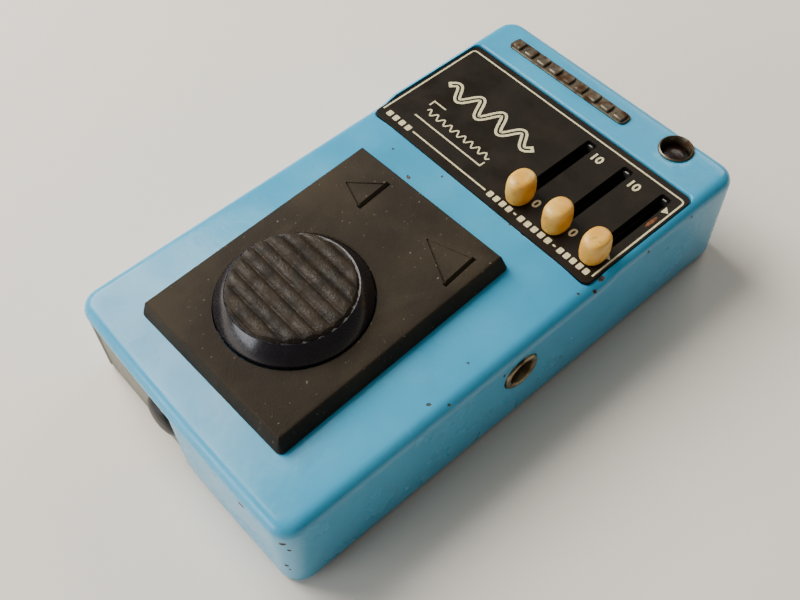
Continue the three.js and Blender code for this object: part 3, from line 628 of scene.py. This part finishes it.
def make_case():
    """The die-cast shell, with every opening of the real one cut through it."""
    case = formed_block(
        "case_shell", stations(HALF_WIDTH), stations(HALF_LENGTH), [0, 0.08, 0.5, 1], case_point,
    )
    inner_x = HALF_WIDTH - WALL
    near_wall = -HALF_LENGTH + WALL + BOW
    far_wall = HALF_LENGTH - WALL
    recess = [
        (panel_low.z - GAP, 0), (TOP - 0.55, 0), (TOP - 0.3, 0.06), (TOP - 0.12, 0.2), (TOP, 0.45),
        (TOP + 2, 0.9),
    ]
    cutters = [
        cavity("cavity", near_wall, far_wall, inner_x, 0, PAD_CEILING),
        cavity("control_cavity", PANEL_CEILING_NEAR, far_wall, inner_x - 0.02, 0.5, PANEL_CEILING),
        slab("recess", 0, (LIP + PANEL_FAR) / 2, PANEL_HALF, (PANEL_FAR - LIP) / 2, 2, recess, steps=8),
    ]
    for i in SLIDERS:
        cutters.append(slab(f"slot_{i}", *slot_opening(i, GAP), 0.8, [(10, 0), (TOP + 3, 0)]))
    for name, way in (("input_jack_ring", 1), ("output_jack_ring", -1)):
        radius = half_size(name)[2] + GAP * 0.5
        ends = way * (inner_x - 2), way * HALF_WIDTH
        cutters.append(flared_hole(name + "_hole", radius, middle(name)[1:], "x", *ends, 0.2))
    lamp_radius = half_size("lamp_rim")[0] - GAP
    cutters.append(flared_hole("lamp_hole", lamp_radius, middle("lamp_rim")[:2], "z", 10, TOP, 0.25))
    cutters.append(flared_hole(
        "stem_hole", STEM_HOLE_RADIUS, (BUTTON.x, BUTTON.y), "z", 10, flat_top(BUTTON.y), 0.3,
    ))
    # the door's mouth reaches a little deeper in front of the battery than beside it
    mouths = (
        (span("battery")[1].x + GAP, WALL + BOW + 1),
        (span("battery_door")[1].x + GAP + 0.1, WALL + BOW + 0.2),
    )
    for number, (right, deep) in enumerate(mouths):
        across = (right - inner_x) / 2, -HALF_LENGTH, (right + inner_x) / 2, deep
        cutters.append(slab(f"bay_mouth_{number}", *across, 0.3, [(-1, 0), (PAD_CEILING, 0)], steps=2))
    cut(case, *cutters)
    case.data.materials.clear()
    case.data.materials.append(ENAMEL)
    case.data.materials.append(BARE)
    chip_away(case)
    settle(case, None, "case", "enamel", ["enclosure"], smooth=32)


def chip_away(case):
    """Cuts shallow ragged chips through the enamel, down to the metal under it."""
    dice = random.Random(12)
    corners = 11
    cutters = []
    for number, (*place, size, stretch) in enumerate(CHIPS):
        _, spot, normal, _ = case.closest_point_on_mesh(Vector(place) * MM)
        spot = spot / MM
        side = normal.orthogonal().normalized()
        other = normal.cross(side)
        heading = dice.uniform(0, 2 * pi)
        outline = []
        for angle in around(corners):
            reach = size / 2 * dice.uniform(0.55, 1.1)
            a, b = reach * stretch * cos(angle), reach * sin(angle)
            turned_a = a * cos(heading) - b * sin(heading)
            turned_b = a * sin(heading) + b * cos(heading)
            outline.append(side * turned_a + other * turned_b)
        levels = ((-0.11, 0.82), (0.5, 1.3))
        rings = [[tuple(spot + q * grow + normal * level) for q in outline] for level, grow in levels]
        cutter = lofted(f"chip_{number}", rings)
        cutter.data.materials.append(ENAMEL)
        cutter.data.materials.append(BARE)
        for face in cutter.data.polygons:
            face.material_index = 1
        cutters.append(cutter)
    cut(case, *cutters)


# each kind of screw: radius of the post that it runs up into, and what it holds to that post
POSTS = {"base": (3.4, "base_plate"), "board": (2.6, "circuit_board"), "switch": (2.6, "switch_board")}
POST_BORE = 1.7


def make_case_posts():
    """The cast posts that the screws run up into."""
    for name in sorted(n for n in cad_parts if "screw" in n):
        x, y, _ = middle(name)
        ceiling = PANEL_CEILING if y > PANEL_CEILING_NEAR else PAD_CEILING
        radius, held = POSTS[name.split("_")[0]]
        bottom = span(held)[1].z + GAP
        profile = [
            (POST_BORE, bottom), (radius - 0.3, bottom), (radius, bottom + 0.3), (radius, ceiling - 0.8),
            (radius + 0.6, ceiling + 0.1), (POST_BORE, ceiling + 0.1),
        ]
        turned("case_post_" + name, profile, (x, y), sides=32, hollow=True,
               material=ENAMEL, slot="enamel", smooth=40)


# ---- tread pad and footswitch

PAD_HEIGHT = 4.1
PAD_INSET = 1.3
PAD_TURN = radians(1.9)
# each outlined wedge pressed into the pad: its tip, then the two ends of its bold side
WEDGES = (
    ((-19.1, -4.2), (-11.6, -6.6), (-12.3, 2.4)),
    ((5.7, -1.6), (17.3, -6.9), (16.5, 2.1)),
)


def make_tread_pad():
    """The rubber pad: sloping sides, two pressed wedges and a hole for the button, laid a little askew."""
    slope = atan(NEAR_DIP / (LIP + HALF_LENGTH))
    half_x, near_y, far_y = 23.9, -HALF_LENGTH + 10.5, LIP - 9.7
    levels = [
        (0, 0), (0.5, -0.12), (PAD_HEIGHT - 0.55, -PAD_INSET + 0.14), (PAD_HEIGHT - 0.3, -PAD_INSET - 0.02),
        (PAD_HEIGHT - 0.1, -PAD_INSET - 0.17), (PAD_HEIGHT, -PAD_INSET - 0.42),
    ]
    pad = slab("tread_pad_rubber", 0, 0, half_x, (far_y - near_y) / 2, 1.4, levels)
    centre = Vector((BUTTON.x + 0.4, (near_y + far_y) / 2, 0))
    grooves = []
    for number, wedge in enumerate(WEDGES):
        tip, foot, head = [Matrix.Rotation(-PAD_TURN, 2) @ (Vector(corner) - centre.xy) for corner in wedge]
        sides = ((foot, head, 1.3, 0.9), (tip, foot, 0.55, 0.4), (tip, head, 0.4, 0.2))
        for side, line in enumerate(sides):
            grooves.append(groove(f"pad_mark_{number}_{side}", *line))
    cut(pad, *grooves)
    seat = flat_top(centre.y) + GAP * 0.4
    turn = Matrix.Rotation(slope, 4, "X") @ Matrix.Rotation(PAD_TURN, 4, "Z")
    pad.data.transform(Matrix.Translation(Vector((centre.x, centre.y, seat)) * MM) @ turn)
    mouth = cap_high.z - BUTTON_RISE + 0.15
    place = (BUTTON.x, BUTTON.y)
    cut(pad, flared_hole("pad_hole", BUTTON_RADIUS + GAP, place, "z", 20, mouth, 0.35, sides=96))
    settle(pad, TREAD_RUBBER, "case", "tread_rubber", ["tread_pad"], smooth=40)


def groove(name, start, end, width, depth):
    """A V-shaped cutter along a line on the level top of the pad."""
    along = (end - start).normalized()
    across = Vector((-along.y, along.x)) * width / 2
    above = PAD_HEIGHT + 0.5
    rings = []
    for point in (start - along * width * 0.3, end + along * width * 0.3):
        left, right = point + across, point - across
        rings.append([
            (left.x, left.y, above), (left.x, left.y, PAD_HEIGHT), (point.x, point.y, PAD_HEIGHT - depth),
            (right.x, right.y, PAD_HEIGHT), (right.x, right.y, above),
        ])
    return lofted(name, rings)


def make_footswitch():
    """A flared glossy skirt with a ribbed crown that the shoe presses."""
    outer, crown, top = BUTTON_RADIUS, CROWN_RADIUS, cap_high.z
    base = top - BUTTON_RISE
    centre = (BUTTON.x, BUTTON.y)
    black = {"material": GLOSS_BLACK, "body": "footswitch", "slot": "button_black"}
    turned("footswitch_skirt", [
        (outer - 2, cap_low.z), (outer - 0.2, cap_low.z), (outer, cap_low.z + 0.2), (outer, base + 0.2),
        (outer - 0.12, base + 0.5), (crown + 0.78, top - 1.12), (crown + 0.72, top - 1.06),
        (crown + 0.6, top - 1.08), (crown - 0.5, top - 1.1), (crown - 1.5, top - 3.3), (outer - 2, top - 4.6),
    ], centre, sides=128, hollow=True, replaces=["footswitch_cap"], smooth=50, **black)
    pitch = 2 * crown / 8.5
    slices_per_rib = 14
    reach = crown - 0.04
    slices = round(2 * reach / pitch * slices_per_rib)
    rings = []
    for row in range(slices + 1):
        y = reach * (2 * row / slices - 1)
        across_rib = abs(2 * ((y / pitch) % 1) - 1)
        z = top - RIB_DEPTH * across_rib ** 3
        levels = [(crown + 0.5, top - 1.3), (crown, z - 0.22), (crown - 0.03, z - 0.08)]
        right = [(sqrt(r * r - y * y) if r > abs(y) else 0.3, level) for r, level in levels]
        half = max(right[-1][0] - 0.12, 0.2)
        flat = [(half * (1 - step / 6), z) for step in range(13)]
        section = right + flat + [(-x, level) for x, level in reversed(right)]
        rings.append([(BUTTON.x + x, BUTTON.y + y, level) for x, level in section])
    lofted("footswitch_crown", rings, material=CROWN, body="footswitch", slot="button_black", smooth=60)
    bottom = span("footswitch_stem")[1].z + 0.05
    deck = [(AXIS, bottom), (12, bottom), (12, top - 1.2), (AXIS, top - 1.2)]
    turned("footswitch_deck", deck, centre, smooth=40, **black)


def make_spring():
    """The return spring, a coil of three turns of round wire."""
    low, high = span("footswitch_spring")
    wire, turns, per_turn = 0.45, 3, 36
    radius = half_size("footswitch_spring")[0] - wire
    rings = []
    for i in range(turns * per_turn + 1):
        angle = 2 * pi * i / per_turn
        z = low.z + wire + (high.z - low.z - 2 * wire) * i / (turns * per_turn)
        ring = []
        for around_wire in around(10):
            reach = radius + wire * cos(around_wire)
            x, y = BUTTON.x + reach * cos(angle), BUTTON.y + reach * sin(angle)
            ring.append((x, y, z + wire * sin(around_wire)))
        rings.append(ring)
    coil = lofted("footswitch_coil", rings, material=STEEL, slot="steel",
                  replaces=["footswitch_spring"], smooth=60)
    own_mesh(coil)


# ---- control panel and slide controls

INK_FOOT = 0.005  # the ink starts this far above the panel
INK_TOP = 0.03


def make_panel():
    """The sunk plate with its three slots."""
    low, high = panel_low, panel_high
    plate = slab(
        "control_panel_plate", 0, (low.y + high.y) / 2, (high.x - low.x) / 2, (high.y - low.y) / 2, 1.7,
        [(low.z, 0), (high.z - 0.12, 0), (high.z, -0.12)], steps=8,
    )
    levels = [(low.z - 1, 0), (high.z - 0.15, 0), (high.z + 0.02, 0.12), (high.z + 1, 0.12)]
    cut(plate, *[slab(f"panel_slot_{i}", *slot_opening(i), 0.8, levels) for i in SLIDERS])
    settle(plate, PANEL, "case", "panel_brown", ["control_panel"], smooth=40)


def ink_stroke(name, points, width, material=INK, rise=0):
    """A printed line of even width through plan points, lying on the panel."""
    path = [Vector(p) for p in points]
    z0, z1 = panel_high.z + INK_FOOT + rise, panel_high.z + INK_TOP + rise
    section = []
    for i, point in enumerate(path):
        before = path[max(i - 1, 0)]
        after = path[min(i + 1, len(path) - 1)]
        first = (point - before).normalized() if point != before else (after - point).normalized()
        second = (after - point).normalized() if after != point else first
        bisector = (first + second).normalized()
        normal = Vector((-bisector.y, bisector.x))
        reach = width / 2 / max(normal.dot(Vector((-first.y, first.x))), 0.4)
        left, right = point + normal * reach, point - normal * reach
        section.append([(*left, z0), (*right, z0), (*right, z1), (*left, z1)])
    lofted(name, section, material=material)


def ink_shape(name, points):
    """A small solid printed shape."""
    levels = panel_high.z + INK_FOOT, panel_high.z + INK_TOP
    lofted(name, [[(x, y, z) for x, y in points] for z in levels], material=INK)


def ink_number(name, text, x, y, size=3.4):
    """A printed number from the plain built-in font."""
    curve = bpy.data.curves.new(name + "_curve", "FONT")
    curve.body = text
    curve.size = size * MM
    curve.align_x = "CENTER"
    curve.align_y = "CENTER"
    curve.extrude = (INK_TOP / 2) * MM
    curve.offset = 0.0001
    curve.resolution_u = 4
    holder = in_scene(name + "_holder", curve)
    bpy.context.view_layer.update()
    depsgraph = bpy.context.evaluated_depsgraph_get()
    mesh = bpy.data.meshes.new_from_object(holder.evaluated_get(depsgraph))
    bpy.data.objects.remove(holder)
    mesh.transform(Matrix.Translation(Vector((x, y, panel_high.z + INK_TOP / 2 + INK_FOOT)) * MM))
    settle(in_scene(name, mesh), INK)


def print_panel():
    """Cream border, blank label bars, wave ornament, pointer marks and end numbers."""
    near_y, far_y = LIP + 3.0, PANEL_FAR - 2.2
    side_x = PANEL_HALF - 1.1
    corner, line, fine_line = 1.0, 0.42, 0.4
    border = [(side_x, near_y)]
    for cx, start in ((side_x - corner, 0), (-side_x + corner, 90)):
        for i in range(5):
            angle = radians(start + 90 * i / 4)
            border.append((cx + corner * cos(angle), far_y - corner + corner * sin(angle)))
    ink_stroke("print_border", border + [(-side_x, near_y)], line)
    labels = [(-33.6, -24.6), (2.0, 10.2), (12.0, 22.6), (24.4, side_x - 0.8)]
    for number, (start, end) in enumerate(labels):
        bars = max(round((end - start) / 2.1), 1)
        pitch = (end - start) / bars
        for bar in range(bars):
            x = start + pitch * (bar + 0.5)
            ink_shape(f"print_label_{number}_{bar}", rounded_rectangle(x, near_y, pitch * 0.34, 0.85, 0.3, 3))
    joins = [(-24, 1.4), (10.7, 11.5), (23.1, 23.9)]
    for number, (start, end) in enumerate(joins):
        ink_stroke(f"print_border_near_{number}", [(start, near_y), (end, near_y)], line)
    wave_y, wave_start, wave_length, waves = LIP + 20.5, -30, 30, 4
    wave = []
    for i in range(121):
        t = i / 120
        swell = 0.55 + 0.45 * sin(pi * t)
        height = 2.7 * swell * sin(2 * pi * waves * t)
        wave.append((wave_start + wave_length * t, wave_y + height))
    ink_stroke("print_wave", wave, 1.9)
    ink_stroke("print_wave_core", wave[2:-2], 0.5, material=PANEL, rise=0.02)
    y, ripples = LIP + 10.5, 9
    ripple = [(-27 + 22 * i / 100, y + 0.8 * sin(2 * pi * ripples * i / 100)) for i in range(101)]
    ink_stroke("print_ripple", ripple, fine_line)
    ink_stroke("print_ripple_line", [(-28, y - 3.2), (-5, y - 3.2), (-5, y - 1.6)], fine_line)
    ink_stroke("print_ripple_line_far", [(-28, y + 1.6), (-28, y + 3.4), (-24, y + 3.4)], fine_line)
    for i in (1, 2):
        x, rest = slider_place(i)
        ink_number(f"print_low_{i}", "0", x + 4.2, rest + 1.0)
        ink_number(f"print_high_{i}", "10", x + 4.0, rest + 21.6)
    x, rest = slider_place(3)
    for name, y in (("low", rest + 1.8), ("high", rest + 21.3)):
        ink_shape(f"print_pointer_{name}", [(x + 3.4, y - 0.2), (x + 1.9, y + 1.1), (x + 1.9, y - 1.1)])
    scuff = [(x + 2.4 + 0.45 * cos(a), rest + 16.5 + 2.2 * sin(a)) for a in around(9)]
    levels = (panel_high.z + 0.004, panel_high.z + 0.02)
    lofted("panel_rust_scuff", [[(px, py, z) for px, py in scuff] for z in levels], material=RUST)


# a slide control's cap: how wide it is at each share of its height
CAP_PROFILE = (
    (0.94, 0), (1, 0.25), (1, 0.45), (0.98, 0.68), (0.94, 0.82), (0.86, 0.92), (0.74, 0.97), (0.5, 0.995),
    (0.2, 1), (0.02, 1),
)


def make_slide_controls():
    """The caps, and in each slot a black trough that is painted shade down the slot, and the bent tab at its
    far end.
    """
    tab_foot, tab_shoulder, tab_top = 25.2, 26.6, 27.0
    for i in SLIDERS:
        x, rest = slider_place(i)
        low, high = span(f"slider_{i}_knob")
        half_x, half_y, _ = half_size(f"slider_{i}_knob")
        height = high.z - low.z
        rings = [oval(x, rest, half_x * wide, half_y * wide, low.z + height * up) for wide, up in CAP_PROFILE]
        lofted(f"slider_{i}_cap", rings, material=CREAM, body=f"slider_{i}", slot="knob_cream",
               replaces=[f"slider_{i}_knob"], smooth=50)
        # a black trough down the walls of each slot: painted shade where the slot falls dark
        top, bottom = panel_low.z - 0.02, panel_low.z - 1.6
        rings = []
        for spare, z in ((0.28, bottom), (0.28, top), (-0.02, top), (-0.02, bottom)):
            rings.append([(px, py, z) for px, py in rounded_rectangle(*slot_opening(i, spare), 0.8)])
        lofted(f"slider_{i}_painted_shade_lining", rings, hollow=True,
               material=BLACK_PLASTIC, slot="black_plastic", smooth=40)
        tab_y = rest + SLOT_FAR - 0.9
        shape = [
            (-0.9, tab_foot), (0.9, tab_foot), (0.9, tab_shoulder), (0.5, tab_top), (-0.5, tab_top),
            (-0.9, tab_shoulder),
        ]
        lofted(f"slider_{i}_tab", [[(x + dx, y, z) for dx, z in shape] for y in (tab_y - 0.2, tab_y + 0.2)],
               material=STEEL, slot="steel", smooth=30)


def oval(x, y, half_x, half_y, z, sides=48, squareness=2.3):
    """A squarish oval ring."""
    ring = []
    for angle in around(sides):
        c, s = cos(angle), sin(angle)
        ring.append((
            x + half_x * copysign(abs(c) ** (2 / squareness), c),
            y + half_y * copysign(abs(s) ** (2 / squareness), s),
            z,
        ))
    return ring


# ---- sockets, lamp and badge


def make_jack_rings():
    """The turned rings that hold the two sockets."""
    inner = 3.2
    for name, way in (("input", 1), ("output", -1)):
        low, high = span(f"{name}_jack_ring")
        outer = (high.z - low.z) / 2
        back, tip = (low.x, high.x) if way > 0 else (high.x, low.x)
        turned(f"{name}_jack_collar", [
            (inner, back), (outer, back), (outer, tip - way * 0.45), (outer - 0.12, tip - way * 0.15),
            (outer - 0.4, tip), (inner + 0.55, tip), (inner + 0.2, tip - way * 0.15),
            (inner, tip - way * 0.5),
        ], middle(f"{name}_jack_ring")[1:], axis="x", sides=96, hollow=True,
            material=NICKEL, slot="nickel", replaces=[f"{name}_jack_ring"], smooth=50)


def make_lamp():
    """A flat rim on the far strip with a low dark lens in it."""
    centre = middle("lamp_rim")[:2]
    outer, inner = half_size("lamp_rim")[0], 3.65
    foot, deck = span("lamp_rim")[0].z, TOP + 0.05
    turned("lamp_bezel", [
        (inner, foot), (outer - 0.6, foot), (outer - 0.6, deck), (outer, deck), (outer, deck + 0.2),
        (outer - 0.15, deck + 0.42), (outer - 0.4, deck + 0.5), (inner + 0.2, deck + 0.42),
        (inner, deck + 0.2),
    ], centre, sides=96, hollow=True, material=BADGE, slot="nickel", replaces=["lamp_rim"], smooth=50)
    foot = span("lamp_lens")[0].z
    radius = half_size("lamp_lens")[0]
    crest, bulge = TOP - 1.2, 0.9
    dome = [(AXIS, foot), (radius, foot), (radius, crest - bulge)]
    for step in range(1, 8):
        angle = radians(90 * step / 8)
        dome.append((radius * cos(angle), crest - bulge + bulge * sin(angle)))
    dome.append((AXIS, crest))
    turned("lamp_lens_dome", dome, centre,
           material=LENS, slot="lens_red", replaces=["lamp_lens"], smooth=50)


def make_badge():
    """A blank raised trim strip of nine soft-edged bars on a thin rail."""
    low, high = span("badge_bar")
    x, y, _ = middle("badge_bar")
    half_x, half_y, _ = half_size("badge_bar")
    base = TOP + 0.02
    metal = {"material": BADGE, "slot": "badge_metal"}
    slab("badge_rail", x, y, half_x, half_y, 1.4, [(base, 0), (base + 0.35, 0), (base + 0.5, -0.15)],
         replaces=["badge_bar"], smooth=40, **metal)
    bars = 9
    pitch = 2 * half_x / bars
    levels = [(base + 0.3, 0), (high.z - 0.25, 0), (high.z - 0.08, -0.12), (high.z, -0.35)]
    for i in range(bars):
        bar_x = low.x + (i + 0.5) * pitch
        slab(f"badge_bar_{i + 1}", bar_x, y, pitch * 0.34, half_y - 0.5, 0.6, levels, 4, smooth=45, **metal)


# ---- battery door, screws and feet

LEAF = 1.8  # thickness of the door


def door_leaf(name, x0, x1, z0, z1, face_y):
    """An upright leaf with softened front edges."""
    rings = []
    for y, grow in ((face_y, -0.3), (face_y + 0.15, -0.08), (face_y + 0.35, 0), (face_y + LEAF, 0)):
        half_x, half_z = (x1 - x0) / 2 + grow, (z1 - z0) / 2 + grow
        outline = rounded_rectangle((x0 + x1) / 2, (z0 + z1) / 2, half_x, half_z, 0.6 + grow, 4)
        rings.append([(px, y, pz) for px, pz in outline])
    return lofted(name, rings)


def make_door():
    """The battery door: leaf with its lower apron, hinge barrel, round thumb grip and catch stud."""
    low, high = span("battery_door")
    barrel, pin = 1.2, 0.8
    hinge_x = low.x + barrel
    bottom, top = span("base_plate")[1].z + 0.4, PAD_CEILING - 0.4
    face_y = (low.y + high.y) / 2 - LEAF / 2
    door = door_leaf("battery_door_plate", hinge_x, high.x, bottom, top, face_y)
    apron = door_leaf("battery_door_apron", hinge_x + 2.9, high.x, RIM + 0.4, bottom + 1, face_y)
    cut(door, apron, operation="UNION")
    settle(door, DOOR_GREY_AND_REFLECTION, "battery_door", "door_grey", ["battery_door"], smooth=40)
    turned("battery_door_barrel", [
        (AXIS, low.z), (0.7, low.z), (pin, low.z + 0.1), (pin, bottom), (1.05, bottom),
        (barrel, bottom + 0.15), (barrel, top - 0.15), (1.05, top), (pin, top), (pin, high.z - 0.1),
        (0.7, high.z), (AXIS, high.z),
    ], (hinge_x, face_y + LEAF / 2), sides=32,
        material=DOOR_GREY_AND_REFLECTION, body="battery_door", slot="door_grey", smooth=40)
    low, high = span("battery_door_grip")
    x, _, z = middle("battery_door_grip")
    radius = half_size("battery_door_grip")[0]
    back, front = high.y + GAP * 0.9, low.y
    profile = [(AXIS, back), (radius - 0.15, back), (radius, back - 0.2), (radius, back - 0.5)]
    for step in range(1, 8):
        angle = radians(90 * step / 7)
        proud = (back - 0.5 - front) * sin(angle)
        profile.append((radius * cos(angle) * 0.98 + AXIS, back - 0.5 - proud))
    turned("battery_door_thumb_grip", profile, (x, z), axis="y", material=GRIP_BLACK, body="battery_door",
           slot="button_black", replaces=["battery_door_grip"], smooth=40)
    stud = [(AXIS, back), (0.9, back), (0.9, back - 0.5), (0.6, back - 0.9), (AXIS, back - 1)]
    turned("battery_door_catch_stud", stud, (x + 2.3, z + radius + 0.9), axis="y", sides=24,
           material=NICKEL, body="battery_door", slot="nickel", smooth=40)


def make_feet():
    """Round rubber feet with a softened tread."""
    for name in sorted(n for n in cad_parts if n.startswith("foot_")):
        radius = half_size(name)[0]
        top = span(name)[1].z + GAP * 0.9
        turned(name + "_bumper", [
            (AXIS, 0), (radius - 1.0, 0), (radius - 0.4, 0.1), (radius - 0.1, 0.35), (radius, 0.7),
            (radius, top), (AXIS, top),
        ], middle(name)[:2], sides=48,
            material=FOOT_RUBBER, slot="foot_rubber", replaces=[name], smooth=40)


def make_screws():
    """Pan heads with a cross recess, and a thread."""
    shank, root, pitch = 1.4, 0.22, 0.5
    for name in sorted(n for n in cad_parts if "screw" in n):
        low, high = span(name)
        x, y, _ = middle(name)
        head = half_size(name)[0]
        z = low.z + (0.9 if name.startswith("base") else 1.4)
        profile = [
            (AXIS, low.z), (head * 0.55, low.z + 0.03), (head * 0.85, low.z + 0.18), (head, low.z + 0.45),
            (head, z), (shank, z),
        ]
        while z < high.z - 1.2:
            profile += [(shank, z + 0.1), (shank - root, z + 0.3), (shank, z + 0.5)]
            z += pitch
        profile += [(shank * 0.5, high.z - 0.3), (AXIS, high.z)]
        screw = turned(name + "_threaded", profile, (x, y), sides=24)
        levels = [(low.z - 1, 0), (low.z + 0.55, -0.08)]
        arms = ((head * 0.6, 0.3), (0.3, head * 0.6))
        cut(screw, *[
            slab(f"{name}_recess_{turn}", x, y, half_x, half_y, 0.1, levels, 2)
            for turn, (half_x, half_y) in enumerate(arms)
        ])
        settle(screw, STEEL, "case", "steel", [name], smooth=40)


# ---- what the case holds


def dress(material, *names, smooth_angle=40, rounds=0):
    """Gives carried-over nodes their material and shading, and rounds a coarse tube."""
    for name in names:
        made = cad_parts[name]
        made.data.materials.clear()
        made.data.materials.append(material)
        for polygon in made.data.polygons:
            polygon.use_smooth = True
        made.data.set_sharp_from_angle(angle=radians(smooth_angle))
        if rounds:
            softener = made.modifiers.new("rounded", "SUBSURF")
            softener.levels = rounds
            softener.render_levels = rounds


def dress_inside():
    """The parts whose CAD shape is right, most of them seen only with the door open."""
    dress(STEEL, "base_plate", "footswitch_stem", "footswitch_clip")
    dress(STEEL, *[f"slider_{i}_lever" for i in SLIDERS])
    dress(DARK_STEEL, *[f"slider_{i}_body" for i in SLIDERS])
    dress(BRASS, "input_jack_leaf", "output_jack_leaf")
    dress(BLACK_PLASTIC, "input_jack_body", "output_jack_body", "switch_body", "battery_snap",
          "battery_partition", "chip_large", "chip_small")
    dress(RED_ACETAL, "switch_plunger")
    dress(NYLON, "footswitch_guide")
    dress(BOARD, "circuit_board", "switch_board")
    dress(CAN_SLEEVE, "capacitor_1", "capacitor_2", "capacitor_3")
    dress(LED_EPOXY, "lamp_led")
    dress(JACKET, "battery")
    for name, material in LEAD_COLOURS.items():
        dress(material, name, smooth_angle=80, rounds=1)


def make_chip_legs():
    """Two rows of bent legs, 2.54 mm apart, down to the board."""
    for name in ("chip_large", "chip_small"):
        low, high = span(name)
        count = round((high.x - low.x) / 2.54)
        for i in range(count):
            x = low.x + (i + 0.5) * (high.x - low.x) / count
            for side, y, way in (("near", low.y, -1), ("far", high.y, 1)):
                shape = ((-0.2, 2.0), (0.7, 2.0), (0.7, -0.3), (0.4, -0.3), (0.4, 1.7), (-0.2, 1.7))
                rings = [[(px, y + way * out, low.z + up) for out, up in shape] for px in (x - 0.3, x + 0.3)]
                lofted(f"{name}_leg_{side}_{i + 1}", rings, material=STEEL, slot="steel")


# ---- floor, lights and camera


def make_floor():
    """A plain pale floor, 6 m square."""
    half = 3000
    corners = [(-half, -half, 0), (half, -half, 0), (half, half, 0), (-half, half, 0)]
    floor = piece("floor", corners, [[0, 1, 2, 3]])
    floor.data.materials.append(finish("pale_floor", "#efe9df", 0.75))


def make_light(name, at, aim, size, power, colour):
    """A soft rectangular light, aimed at a point."""
    data = bpy.data.lights.new(name, "AREA")
    data.shape = "RECTANGLE"
    data.size, data.size_y = size
    data.energy = power
    data.color = linear(colour)[:3]
    lamp = in_scene(name, data)
    lamp.location = at
    lamp.rotation_euler = (Vector(aim) - Vector(at)).to_track_quat("-Z", "Y").to_euler()


def light_scene():
    """Soft daylight from above left and the near end, with a little from behind."""
    world = bpy.data.worlds.new("studio")
    bpy.context.scene.world = world
    world.use_nodes = True
    background = world.node_tree.nodes["Background"]
    background.inputs["Color"].default_value = linear("#f3efe8")
    background.inputs["Strength"].default_value = 0.18
    make_light("overhead", (-0.66, -0.16, 0.72), (0, 0, 0.01), (0.7, 0.7), 18, "#fffaf2")
    make_light("window", (-0.25, -0.8, 0.25), (0, -0.03, 0.01), (0.5, 0.35), 3.5, "#f6f9ff")
    make_light("behind", (-0.2, 0.9, 0.6), (0, 0, 0.01), (0.6, 0.4), 3, "#fff6ea")


def place_camera():
    """Above the near right corner, looking down along the pedal."""
    data = bpy.data.cameras.new("camera")
    camera = in_scene("camera", data)
    data.sensor_width = 36
    data.lens = 45.6
    data.clip_start = 0.01
    pitch, azimuth, roll = radians(55.265), radians(50.595), radians(-2.18)
    heading = Matrix.Rotation(azimuth, 4, "Z") @ Matrix.Rotation(pi / 2 - pitch, 4, "X")
    look = heading @ Matrix.Rotation(roll, 4, "Z")
    camera.matrix_world = Matrix.Translation((0.10787, -0.09412, 0.20732)) @ look
    bpy.context.scene.camera = camera


place_camera()
light_scene()
make_floor()
make_case()
make_case_posts()
make_tread_pad()
make_footswitch()
make_spring()
make_panel()
print_panel()
make_slide_controls()
make_jack_rings()
make_lamp()
make_badge()
make_door()
make_feet()
make_screws()
dress_inside()
make_chip_legs()
